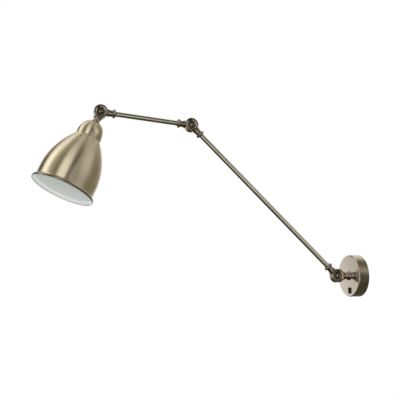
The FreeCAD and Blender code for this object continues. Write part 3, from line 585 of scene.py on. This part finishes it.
def knuckle_half(side):
    """One half, on +X or -X, with its stem along Z."""
    hole = PIVOT_R + 0.06
    inner, face = WASHER_T / 2 + 0.02, KNUCKLE_HALF
    dish = bulge((face, DISH_R), (face - DISH_DEPTH, RECESS_R), DISH_CROWN, 6)
    ring = rounded([(inner, hole, 0), (inner, KNUCKLE_R, 0.35), (face, KNUCKLE_R, KNUCKLE_EDGE_R),
                    (*dish[0], 0.35), *[(a, b, 0) for a, b in dish[1:-1]], (*dish[-1], 0.3),
                    (RECESS_FLOOR, RECESS_R, 0.4), (RECESS_FLOOR, hole, 0)], 6)
    disc = moved(turn(ring, 128), z_to_x)
    foot, heel = RECESS_R + 1.2, FLANGE[0] + SADDLE_FOOT
    blank = turn([(foot, 0), (foot, SADDLE_R), (heel, SADDLE_R), (heel, 0)], 64)
    off_side = moved(bar(rectangle(40, 40), 0, 40), Matrix.Translation((inner - 40, 0, 0)))
    disc_room = moved(turn([(-30, 0), (-30, DISC_ROOM_R), (30, DISC_ROOM_R), (30, 0)], 96), z_to_x)
    saddle = worked(blank, ("DIFFERENCE", off_side), ("DIFFERENCE", disc_room))
    stem = turn(rounded([(FLANGE[0], 0, 0), (FLANGE[0], FLANGE_R, 0.5), (FLANGE[1], FLANGE_R, 0.5),
                         (FLANGE[1], NECK_R, 0.4), (NECK_END, NECK_R, 0.15), (NECK_END, NIPPLE_R, 0),
                         (NECK_END - NIPPLE_IN, NIPPLE_R, 0), (NECK_END - NIPPLE_IN, 0, 0)], 5), 96)
    half = worked(disc, ("UNION", saddle), ("UNION", stem))
    if side < 0:
        moved(half, Matrix.Scale(-1, 4, (1, 0, 0)))
    return half


plate_out = Vector((0, -1, 0))
lower_way = (joint_at["elbow"] - joint_at["wall_tilt"]).normalized()
upper_way = (joint_at["head_tilt"] - joint_at["elbow"]).normalized()
lamp_thread = next(mount for mount in frame["record"]["mounts"] if mount["name"] == "lamp_thread")
shade_way = Vector(lamp_thread["axis"]).normalized()
KNUCKLES = [
    ("wall_knuckle_fixed_half", "swivel", "wall_tilt", 1, -plate_out),
    ("wall_knuckle_arm_half", "lower_arm", "wall_tilt", -1, lower_way),
    ("elbow_knuckle_lower_half", "lower_arm", "elbow", 1, -lower_way),
    ("elbow_knuckle_upper_half", "upper_arm", "elbow", -1, upper_way),
    ("shade_knuckle_arm_half", "upper_arm", "head_tilt", 1, -upper_way),
    ("shade_knuckle_head_half", "head", "head_tilt", -1, shade_way),
]
for node, body, joint, side, way in KNUCKLES:
    piece(node + "_cast", knuckle_half(side), body, "bronze_knuckle", knuckle_bronze, node,
          place=stand(joint_at[joint], way))

# ---- Pivot screws, nuts and washers ----
# A domed socket screw runs through each knuckle from its +X side. In the other recess a spring
# washer and a thin nut hold it, and a fibre washer between the halves gives the joint its friction.
HEAD_R = 5.0
HEAD_H = 3.2
SOCKET_AF = 4.0
SOCKET_DEPTH = 2.0
SPRING_WASHER_T = 1.0
NUT_AF = 10.0
NUT_T = 3.2

# Bronze plated screw steel, turned and tumbled: a lighter, softer shine than the knuckles have.
steel_bronze = antique_brass("bronzed_screw_steel", "#A79E90", "#2F271F", 0.16, 0.1, 1.5)
# Vulcanised fibre, pressed and punched: a dull red brown with a coarse, dry grain.
fibre = plain_finish("pressed_red_fibre", "#5B3427", "#43261C", 0.75, 0.4, 0.5)


def pivot_screw():
    """A plain shank under a domed head with a hexagon socket."""
    top = RECESS_FLOOR + HEAD_H
    tip = -(RECESS_FLOOR + SPRING_WASHER_T + NUT_T)
    dome = bulge((RECESS_FLOOR + 1.3, HEAD_R), (top, SOCKET_AF / 2 + 0.5), 0.35, 8)
    shank = rounded([(tip, 0, 0), (tip, PIVOT_R, 0.4), (RECESS_FLOOR, PIVOT_R, 0),
                     (RECESS_FLOOR, HEAD_R, 0.2), (*dome[0], 0)])
    blank = turn([(tip, 0), *shank[1:], *dome[1:], (top, 0)], 64)
    socket = bar(polygon(6, SOCKET_AF / math.sqrt(3)), top - SOCKET_DEPTH, top + 1)
    return worked(blank, ("DIFFERENCE", socket))


def pivot_nut():
    """A hexagon whose corners are turned off to a chamfer on both faces."""
    start = RECESS_FLOOR + SPRING_WASHER_T
    corner = NUT_AF / math.sqrt(3)
    blank = bar(polygon(6, corner), start, start + NUT_T)
    chamfer = turn([(start, 0), (start, NUT_AF / 2 - 0.1), (start + 0.45, corner + 0.05),
                    (start + NUT_T - 0.45, corner + 0.05), (start + NUT_T, NUT_AF / 2 - 0.1),
                    (start + NUT_T, 0)], 96)
    thread = bar(polygon(48, PIVOT_R), start - 1, start + NUT_T + 1)
    nut = worked(blank, ("INTERSECT", chamfer), ("DIFFERENCE", thread))
    return moved(nut, Matrix.Rotation(math.pi, 4, "X"))


PIVOTS = [("wall", "swivel", "wall_tilt", plate_out), ("elbow", "lower_arm", "elbow", lower_way),
          ("shade", "upper_arm", "head_tilt", upper_way)]
for name, body, joint, way in PIVOTS:
    across = stand(joint_at[joint], way) @ z_to_x
    piece(name + "_pivot_socket_screw", pivot_screw(), body, "bronze_knuckle", steel_bronze,
          name + "_pivot_screw", place=across)
    piece(name + "_pivot_thin_nut", pivot_nut(), body, "bronze_knuckle", steel_bronze,
          name + "_pivot_nut", place=across)
    finish(zinc, name + "_spring_washer")
    finish(fibre, name + "_friction_washer")

# ---- Collars, tubes, nipples and cables ----
# Each arm is a 12 mm brass tube, brushed along its length and lacquered. A turned bead collar joins
# it to each knuckle's neck over an M10 nipple, and a round PVC cable runs through it.
TUBE_R = 6.0
TUBE_WALL = 1.0
BEAD_R = 11.0
BEAD = (28.0, 34.4)
BEAD_FOOT_R = 8.4
COLLAR_END = 36.0
COLLAR_LIP_R = 7.2
TUBE_START = 30.0
WALL_STEM_L = 32.1

# Antique brass tube, drawn, polished and lacquered: smooth, with long clean lines of light.
tube_brass = antique_brass("drawn_antique_brass", "#B9B8A6", "#9C9A86", 0.16, 0.0, 3.0)
# Black PVC, extruded round the wires: smooth and soft, with a weak, even gloss.
cable_pvc = plain_finish("extruded_black_pvc", "#1A1A1A", "#222120", 0.5, 0.4, 0.2)
# Zinc plated steel tube, thread rolled and tumbled: greyer and duller than the bracket's sheet.
nipple_steel = plain_finish("zinc_plated_nipple_steel", "#B4B6B8", "#94979A", 0.36, 0.3, 0.15, metallic=1.0)


def bead_arc(until=BEAD[1], steps=14):
    """The bead's round, from its foot to a distance from the pivot."""
    half, height = (BEAD[1] - BEAD[0]) / 2, BEAD_R - BEAD_FOOT_R
    radius = (half ** 2 + height ** 2) / (2 * height)
    points = []
    for step in range(steps + 1):
        along = BEAD[0] + (until - BEAD[0]) * step / steps
        points.append((along, BEAD_R - radius + math.sqrt(radius ** 2 - (along - BEAD[0] - half) ** 2)))
    return points


def arm_collar():
    """A bead over the neck's end, with a short sleeve that the tube slides into."""
    bead = [(a, b, 0) for a, b in bead_arc()]
    return turn(rounded([(NECK_END, NIPPLE_R, 0), (NECK_END, NECK_R, 0.12), *bead,
                         (BEAD[1] + 0.5, COLLAR_LIP_R, 0.2), (COLLAR_END, COLLAR_LIP_R, 0.4),
                         (COLLAR_END, TUBE_R, 0.15), (TUBE_START, TUBE_R, 0),
                         (TUBE_START, NIPPLE_R, 0)]), 96)


def wall_collar():
    """The same bead, cut off flat where it seats on the plate."""
    bead = [(a, b, 0) for a, b in bead_arc(WALL_STEM_L)]
    return turn(rounded([(NECK_END, NIPPLE_R, 0), (NECK_END, NECK_R, 0.12), *bead,
                         (WALL_STEM_L, NIPPLE_R, 0)]), 96)


def arm_tube(length):
    """A plain tube between two collars, for an arm whose pivots are a length apart."""
    runs = 12
    first, last = TUBE_START, length - TUBE_START
    outside = [(first + (last - first) * k / runs, TUBE_R, 0) for k in range(1, runs)]
    return turn(rounded([(first, TUBE_R - TUBE_WALL, 0.2), (first, TUBE_R, 0.2), *outside,
                         (last, TUBE_R, 0.2), (last, TUBE_R - TUBE_WALL, 0.2)]), 64)


piece("wall_bead_collar", wall_collar(), "swivel", "bronze_knuckle", knuckle_bronze, "wall_collar",
      place=stand(joint_at["wall_tilt"], -plate_out))
ARMS = [("lower_arm", "wall_tilt", "elbow", "wall", "elbow"),
        ("upper_arm", "elbow", "head_tilt", "elbow", "shade")]
for arm, near_joint, far_joint, near, far in ARMS:
    start, end = joint_at[near_joint], joint_at[far_joint]
    out, back = stand(start, end - start), stand(end, start - end)
    piece(arm + "_brass_tube", arm_tube((end - start).length / MM), arm, "antique_brass_tube", tube_brass,
          arm + "_tube", place=out)
    for side, at_end in ((near, out), (far, back)):
        fitting = f"{arm}_{side}"
        piece(fitting + "_bead_collar", arm_collar(), arm, "bronze_knuckle", knuckle_bronze,
              fitting + "_collar", place=at_end)
        finish(nipple_steel, fitting + "_nipple")
    finish(cable_pvc, arm + "_cable")
finish(nipple_steel, "wall_nipple", "wall_nipple_washer", "wall_nipple_nut", "head_nipple", "cap_nut")

# ---- Cap ring and cap ----
# Under the last knuckle a turned bronze ring sits on the cap, which is spun from 1 mm brass sheet
# with a flat crown, a full shoulder and a straight skirt, then finished like the shade.
CAP_RING_R = 10.0
CAP_TOP = 30.2
CAP_R = 29.6
CAP_WALL = 1.0
CROWN = (CAP_TOP, 10.6)
CROWN_HEADING = 73.5
SHOULDER = (CAP_TOP + 10.8, 23.8)
CAP_SIDE = (CAP_TOP + 32.8, CAP_R)
SHADE_TOP = 73.0

# Satin antique brass, spun and brushed round with fine abrasive: the rings draw light out along it.
spun_brass = antique_brass("spun_antique_brass", "#D3C7AD", "#B7AA8C", 0.354, 0.95, 0.35, 0.06)
at_shade = stand(joint_at["head_tilt"], shade_way)


def sweep(start, heading, *ends, steps=24):
    """Arcs from a start and a heading, in degrees from the axis, each tangent to the last."""
    points = [tuple(start)]
    for end in ends:
        chord = Vector(end) - Vector(start)
        chord_angle = math.degrees(math.atan2(chord.y, chord.x))
        sag = chord.length / 2 * math.tan(math.radians(heading - chord_angle) / 2)
        points += bulge(start, end, sag, steps)[1:]
        start, heading = end, 2 * chord_angle - heading
    return points


def inner_line(line, wall):
    """A line's parallel on its right, drawn back from its end to its start."""
    spots = [Vector(p) for p in line]
    ways = [(b - a).normalized() for a, b in zip(spots, spots[1:])]
    inner = []
    for spot, before, after in zip(spots, ways[:1] + ways, ways + ways[-1:]):
        way = (before + after).normalized()
        normal = Vector((way.y, -way.x))
        inner.append(tuple(spot + normal * wall / way.dot(before)))
    return inner[::-1]


cap_ring = turn(rounded([(NECK_END, NIPPLE_R, 0), (NECK_END, CAP_RING_R, 0.67), (CAP_TOP, CAP_RING_R, 0.67),
                         (CAP_TOP, NIPPLE_R, 0)]), 96)
piece("turned_cap_ring", cap_ring, "head", "bronze_knuckle", knuckle_bronze, "cap_ring", place=at_shade)


def shade_cap():
    """Both faces of the cap's sheet, from the hole in its crown to the end of its skirt."""
    dome = sweep(CROWN, CROWN_HEADING, SHOULDER, CAP_SIDE, steps=16)
    line = [(CAP_TOP, NIPPLE_HOLE_R), (CAP_TOP, 8.0), *dome, (SHADE_TOP - 5, CAP_R), (SHADE_TOP, CAP_R)]
    return turn(line + inner_line(line, CAP_WALL), 160)


piece("spun_shade_cap", shade_cap(), "head", "antique_brass_shade", spun_brass, "shade_cap", place=at_shade)

# ---- Shade ----
# A bell spun from 0.8 mm brass sheet: a flange that the lampholder clamps, a shoulder with sixteen
# punched vents, long sides and a flared lip. It is satin brushed outside and enamelled inside.
SHADE_RIM = 209.6
SHADE_R = 68.0
SHADE_WALL = 0.8
SHADE_NECK_R = 29.8
SHADE_HEADING = 37.1
WAIST = (SHADE_TOP + 40.0, 53.6)
SIDE_START = 179.6
LIP_START = 199.2
LIP_TURN = (LIP_START + 4.0, SHADE_R + 3.0)
LIP_END_OUT = 4.4
LIP_BACK = 0.15                  # keeps the lip's round tip within the part's length
LIP_TRIM = 0.84                  # share of the lip's last step that its round tip takes
FLANGE_HOLE_R = 19.9
VENTS = 16
VENT_R = 1.5
VENT_AT = 13.5
# Inside, above where the enamel starts, the shade takes the darker brass: painted shade behind the vents.
SHADED_BELOW = 5.0                 # the enamel starts this far below the middle of the vents
SECTOR_COLUMNS = 12


def shade_line():
    """The outside of the shade, from its flange's hole to its lip's end, in fine steps."""
    neck = (SHADE_TOP, SHADE_NECK_R)
    body = sweep(neck, SHADE_HEADING, WAIST, (SIDE_START, SHADE_R), steps=120)
    bend = rounded([(SHADE_TOP, FLANGE_HOLE_R, 0), (*neck, 1.2), (*body[8], 0)], 6)[1:-1]
    lip_end = (SHADE_RIM - LIP_BACK, SHADE_R + LIP_END_OUT)
    lip = sweep((LIP_START, SHADE_R), 0, LIP_TURN, lip_end, steps=16)
    lip[-1] = tuple(Vector(lip[-1]).lerp(Vector(lip[-2]), LIP_TRIM))
    return [(SHADE_TOP, FLANGE_HOLE_R), *bend, *body[8:], *lip]


class Profile:
    """A line by its own length: place and outward normal at any distance along it."""

    def __init__(self, line):
        self.spots = [Vector(p) for p in line]
        self.lengths = [0.0]
        for a, b in zip(self.spots, self.spots[1:]):
            self.lengths.append(self.lengths[-1] + (b - a).length)
        self.normals = []
        for k in range(len(self.spots)):
            way = self.spots[min(k + 1, len(self.spots) - 1)] - self.spots[max(k - 1, 0)]
            self.normals.append(Vector((-way.y, way.x)).normalized())

    def at(self, s):
        k = sum(length <= s for length in self.lengths[1:-1])
        t = (s - self.lengths[k]) / (self.lengths[k + 1] - self.lengths[k])
        normal = self.normals[k].lerp(self.normals[k + 1], t).normalized()
        return self.spots[k].lerp(self.spots[k + 1], t), normal

    def distance(self, along):
        """How far along the line it first reaches a distance from the pivot."""
        for k, (a, b) in enumerate(zip(self.spots, self.spots[1:])):
            if a.x <= along <= b.x and b.x > a.x:
                step = self.lengths[k + 1] - self.lengths[k]
                return self.lengths[k] + (along - a.x) / (b.x - a.x) * step


def shade_sector():
    """One vent's share of the shade, with both its walls and the edges of its flange, lip and vent."""
    profile = Profile(shade_line())
    total = profile.lengths[-1]
    width = math.tau / VENTS
    column = width / SECTOR_COLUMNS
    angles = [column * (j - SECTOR_COLUMNS / 2) for j in range(SECTOR_COLUMNS + 1)]
    vent = profile.distance(SHADE_TOP + VENT_AT)
    cell = profile.at(vent)[0].y * column
    top, bottom = vent - 2 * cell, vent + 2 * cell
    flange = SHADE_NECK_R - FLANGE_HOLE_R
    rows = [0, 0.35, flange / 3, 2 * flange / 3]
    rows += [flange - 1.0 + 0.3 * k for k in range(7)]
    above = [rows[-1] + (top - rows[-1]) * k / 6 for k in range(1, 6)]
    patch = [vent + cell * k for k in (-2, -1, 0, 1, 2)]
    side = profile.distance(SIDE_START)
    lip = profile.distance(LIP_START)
    below = [bottom + (side - bottom) * k / 34 for k in range(1, 34)]
    straight = [side + (lip - side) * k / 4 for k in range(5)]
    lips = [lip + (total - lip) * k / 14 for k in range(1, 15)]
    # The vent's patch is four cells square, from row i0 and column j0.
    i0, j0 = len(rows) + len(above), SECTOR_COLUMNS // 2 - 2
    rows += above + patch + below + straight + lips
    mesh = bmesh.new()
    uv = mesh.loops.layers.uv.new("turning")
    inside = mesh.faces.layers.bool.new("enamelled")
    rolled = mesh.faces.layers.bool.new("rolled_edge")
    # Outside past the lip's middle, and inside down to just below the vents, faces are marked for the darker
    # brass: painted shade under the roll and behind the vents.
    dark_from = lip + (total - lip) * 0.5
    shaded_to = vent + SHADED_BELOW

    def corner(s, angle, depth):
        spot, normal = profile.at(s)
        spot = spot - normal * depth
        return mesh.verts.new(polar(spot.y, angle, spot.x)), s, angle, spot.y

    def wall(*corners, enamelled):
        face = mesh.faces.new([c[0] for c in corners])
        start = min(c[1] for c in corners)
        face[inside] = enamelled and start > shaded_to
        face[rolled] = start <= shaded_to if enamelled else start > dark_from
        for loop, (_, s, angle, radius) in zip(face.loops, corners):
            loop[uv].uv = (s * MM, angle * radius * MM)

    grids, holes = {}, {}
    for depth in (0, SHADE_WALL):
        grid = [[None if i0 < i < i0 + 4 and j0 < j < j0 + 4 else corner(s, angle, depth)
                 for j, angle in enumerate(angles)] for i, s in enumerate(rows)]
        for i in range(len(rows) - 1):
            for j in range(SECTOR_COLUMNS):
                if i0 <= i < i0 + 4 and j0 <= j < j0 + 4:
                    continue
                ring = [grid[i][j], grid[i][j + 1], grid[i + 1][j + 1], grid[i + 1][j]]
                wall(*(ring if depth == 0 else ring[::-1]), enamelled=depth > 0)
        border = [(i0, j0 + k) for k in range(4)] + [(i0 + k, j0 + 4) for k in range(4)]
        border += [(i0 + 4, j0 + 4 - k) for k in range(4)] + [(i0 + 4 - k, j0) for k in range(4)]
        outer = [grid[i][j] for i, j in border]
        rings = [outer]
        for share in (0.45, 0.8, 1.0):
            ring = []
            for i, j in border:
                across = (j - j0 - 2) * cell
                down = rows[i] - vent
                round_off = VENT_R / math.hypot(across, down)
                x, s = (value * (1 + (round_off - 1) * share) for value in (across, down))
                radius = profile.at(vent + s)[0].y
                ring.append(corner(vent + s, x / radius, depth))
            rings.append(ring)
        for a, b in zip(rings, rings[1:]):
            for k in range(len(border)):
                ring = [a[k - 1], a[k], b[k], b[k - 1]]
                wall(*(ring if depth == 0 else ring[::-1]), enamelled=depth > 0)
        grids[depth], holes[depth] = grid, rings[-1]
    out, back = grids[0], grids[SHADE_WALL]
    front, rear = holes[0], holes[SHADE_WALL]
    for k in range(len(border)):
        wall(front[k - 1], front[k], rear[k], rear[k - 1], enamelled=True)
    end_spot, end_normal = profile.at(total)
    along = Vector((end_normal.y, -end_normal.x))
    half = SHADE_WALL / 2
    tip = []
    for degrees in (45, 90, 135):
        lean = math.radians(degrees)
        spot = end_spot - end_normal * half + (end_normal * math.cos(lean) + along * math.sin(lean)) * half
        tip.append([(mesh.verts.new(polar(spot.y, angle, spot.x)), total + half * lean, angle, spot.y)
                    for angle in angles])
    last = [out[-1], *tip, back[-1]]
    for a, b in zip(last, last[1:]):
        for j in range(SECTOR_COLUMNS):
            wall(a[j], a[j + 1], b[j + 1], b[j], enamelled=False)
    for j in range(SECTOR_COLUMNS):
        wall(out[0][j + 1], out[0][j], back[0][j], back[0][j + 1], enamelled=False)
    return outward(mesh)


def repeated_round(data, count, place, material, **marked):
    """Repeats a sector about its Z axis, sews the copies together and puts the ring in its place."""
    tree = bpy.data.node_groups.new("repeat_round_axis", "GeometryNodeTree")
    face = tree.interface
    face.new_socket("Geometry", in_out="INPUT", socket_type="NodeSocketGeometry")
    sockets = {}
    for name, kind in (("Count", "NodeSocketInt"), ("Centre", "NodeSocketVector"),
                       ("Tilt", "NodeSocketVector")):
        sockets[name] = face.new_socket(name, in_out="INPUT", socket_type=kind).identifier
    face.new_socket("Geometry", in_out="OUTPUT", socket_type="NodeSocketGeometry")
    source = add(tree, "NodeGroupInput")
    spots = add(tree, "GeometryNodePoints", {"Count": source.outputs["Count"]})
    step = add(tree, "ShaderNodeMath", {0: math.tau, 1: source.outputs["Count"]}, operation="DIVIDE")
    index = add(tree, "GeometryNodeInputIndex")
    turned = add(tree, "ShaderNodeMath", {0: index, 1: step}, operation="MULTIPLY")
    angle = add(tree, "ShaderNodeCombineXYZ", {"Z": turned})
    copies = add(tree, "GeometryNodeInstanceOnPoints", {
        "Points": spots, "Instance": source.outputs["Geometry"], "Rotation": angle})
    real = add(tree, "GeometryNodeRealizeInstances", {0: copies})
    sewn = add(tree, "GeometryNodeMergeByDistance", {0: real, "Distance": 0.002})
    placed = add(tree, "GeometryNodeTransform", {
        "Geometry": sewn, "Translation": source.outputs["Centre"], "Rotation": source.outputs["Tilt"],
        "Scale": (MM, MM, MM)})
    done = add(tree, "GeometryNodeSetMaterial", {"Geometry": placed, "Material": material})
    for mark, marked_material in marked.items():
        chosen = add(tree, "GeometryNodeInputNamedAttribute", {"Name": mark}, data_type="BOOLEAN")
        done = add(tree, "GeometryNodeSetMaterial", {
            "Geometry": done, "Selection": chosen.outputs[0], "Material": marked_material})
    add(tree, "NodeGroupOutput", {0: done})
    carrier = linked("sector", data)
    modifier = carrier.modifiers.new("repeat", "NODES")
    modifier.node_group = tree
    modifier[sockets["Count"]] = count
    modifier[sockets["Centre"]] = place.translation
    modifier[sockets["Tilt"]] = place.to_euler()
    result = applied(carrier)
    bpy.data.objects.remove(carrier)
    mesh = bmesh.new()
    mesh.from_mesh(result)
    return outward(mesh, result)


# Darker, greyer brass on the lip's rolled edge and inside round the vents: painted shade, under the roll and
# behind the vents.
shade_painted_brass = antique_brass("brass_with_painted_shade", "#8B8577", "#5E584B", 0.28, 0.4, 0.5, 0.03)
# White enamel, sprayed and baked: an even, slightly rippled gloss.
enamel = plain_finish("baked_white_enamel", "#ECEFEC", "#E4E8E5", 0.25, 0.8, 0.08, contrast=0.3)
bell = repeated_round(shade_sector(), VENTS, at_shade, spun_brass, enamelled=enamel, rolled_edge=shade_painted_brass)
whole("spun_bell_shade", bell, "head", "antique_brass_shade", "shade", sharp=35)

# ---- Lampholder, screw shell, contact and shade ring ----
# An E27 holder moulded in black phenolic, with a rolled brass screw shell, a sprung contact and a
# ribbed ring that clamps the shade's flange. It shows only from below, through the shade's mouth.
HOLDER_TOP = CAP_TOP + 6.0
HOLDER_R = 19.0
SKIRT_R = 19.8
SKIRT_END = 100.0
BORE_R = 14.3
SHELL = (68.0, 94.0)
SHELL_R = 13.3
SHELL_WALL = 0.6
SHELL_BASE_R = 9.5
SHELL_BASE_T = 0.8
ENTRY_R = 9.0
RIM_R = 22.5
RIM_TOP = 70.0
CONTACT_AT = 60.0
THREAD_PITCH = 3.63
THREAD_DEPTH = 0.9
RING_R = 26.0
RING = (73.8, 80.8)
RIBS = 24
RIB_R = 1.2

# Black phenolic, compression moulded: a hard brown black with a moderate gloss.
phenolic = plain_finish("moulded_black_phenolic", "#1B1715", "#241F1B", 0.38, 0.3, 0.2)


def lampholder():
    """The entry, body, shoulder and skirt in one outline, hollow for the shell and the lamp."""
    return turn(rounded([
        (HOLDER_TOP, NIPPLE_R, 0.3), (HOLDER_TOP, ENTRY_R, 0.8), (HOLDER_TOP + 8, ENTRY_R, 0.6),
        (HOLDER_TOP + 14, HOLDER_R, 2), (RIM_TOP, HOLDER_R, 0.3), (RIM_TOP, RIM_R, 0.6),
        (SHADE_TOP, RIM_R, 0.2), (SHADE_TOP, SKIRT_R, 0.2), (SKIRT_END, SKIRT_R, 0.8),
        (SKIRT_END, BORE_R, 0.8), (SHELL[0], BORE_R, 0.2), (SHELL[0], 8.5, 0.3), (CONTACT_AT, 8.5, 0.3),
        (CONTACT_AT, 3.3, 0.2), (HOLDER_TOP + 8, 3.3, 0), (HOLDER_TOP + 8, NIPPLE_R, 0)]), 128)


def screw_shell():
    """A helical thread rolled into a thin brass tube, closed to a ring at its base."""
    mesh = bmesh.new()
    around, levels = 96, 84
    base = SHELL[0] + SHELL_BASE_T
    rows = []
    for i in range(levels + 1):
        along = base + (SHELL[1] - base) * i / levels
        fade = min(1, (along - base) / 3, (SHELL[1] - along) / 2.5)
        row = []
        for j in range(around):
            wave = 0.5 - 0.5 * math.cos(math.tau * (along / THREAD_PITCH - j / around))
            row.append((SHELL_R - THREAD_DEPTH * wave * max(0, fade), math.tau * j / around, along))
        rows.append(row)

    def ring(row, thicker=0):
        return [mesh.verts.new(polar(r + thicker, a, z)) for r, a, z in row]

    def plain_ring(radius, z):
        return ring([(radius, a, z) for _, a, _ in rows[0]])

    base_in, base_out = plain_ring(SHELL_BASE_R, base), plain_ring(SHELL_BASE_R, SHELL[0])
    heel = plain_ring(SHELL_R + SHELL_WALL, SHELL[0])
    inner = [ring(row) for row in rows]
    outer = [ring(row, SHELL_WALL) for row in rows]
    skin(mesh, [base_in, *inner, *outer[::-1], heel, base_out, base_in])
    return outward(mesh)


def contact():
    tip = CONTACT_AT + 5
    return turn(rounded([(CONTACT_AT, 0, 0), (CONTACT_AT, 5, 0.3), (CONTACT_AT + 2.5, 5, 0.6),
                         (tip, 2.5, 0.8), (tip, 0, 0)]), 64)


def ring_sector():
    """One groove's share of the shade ring, with its end edges broken."""
    half = math.pi / RIBS
    centre = RING_R + RIB_R / 2
    groove_half = math.acos((centre ** 2 + RING_R ** 2 - RIB_R ** 2) / (2 * centre * RING_R))
    outer = [(RING_R, -half), (RING_R, -half / 2 - groove_half / 2)]
    start = abs(math.atan2(RING_R * math.sin(groove_half), RING_R * math.cos(groove_half) - centre))
    for k in range(9):
        angle = -start - (2 * math.pi - 2 * start) * k / 8
        x, y = centre + RIB_R * math.cos(angle), RIB_R * math.sin(angle)
        outer.append((math.hypot(x, y), math.atan2(y, x)))
    outer += [(RING_R, half / 2 + groove_half / 2), (RING_R, half)]
    mesh = bmesh.new()
    levels = [(RING[0], 0.4), (RING[0] + 0.4, 0), (RING[1] - 0.5, 0), (RING[1], 0.5)]
    rows = [[mesh.verts.new(polar(r - inset, a, along)) for r, a in outer] for along, inset in levels]
    rows += [[mesh.verts.new(polar(SKIRT_R + 0.1, a, along)) for _, a in outer] for along in RING[::-1]]
    skin(mesh, [*rows, rows[0]], closed=False)
    return outward(mesh)


piece("moulded_lampholder", lampholder(), "head", "black_phenolic", phenolic, "lampholder_body",
      place=at_shade)
piece("rolled_screw_shell", screw_shell(), "head", "brass_contacts", contact_brass, "screw_shell",
      place=at_shade, sharp=50)
piece("sprung_centre_contact", contact(), "head", "brass_contacts", contact_brass, "centre_contact",
      place=at_shade)
ribbed = repeated_round(ring_sector(), RIBS, at_shade, phenolic)
whole("ribbed_shade_ring", ribbed, "head", "black_phenolic", "shade_ring", sharp=30)
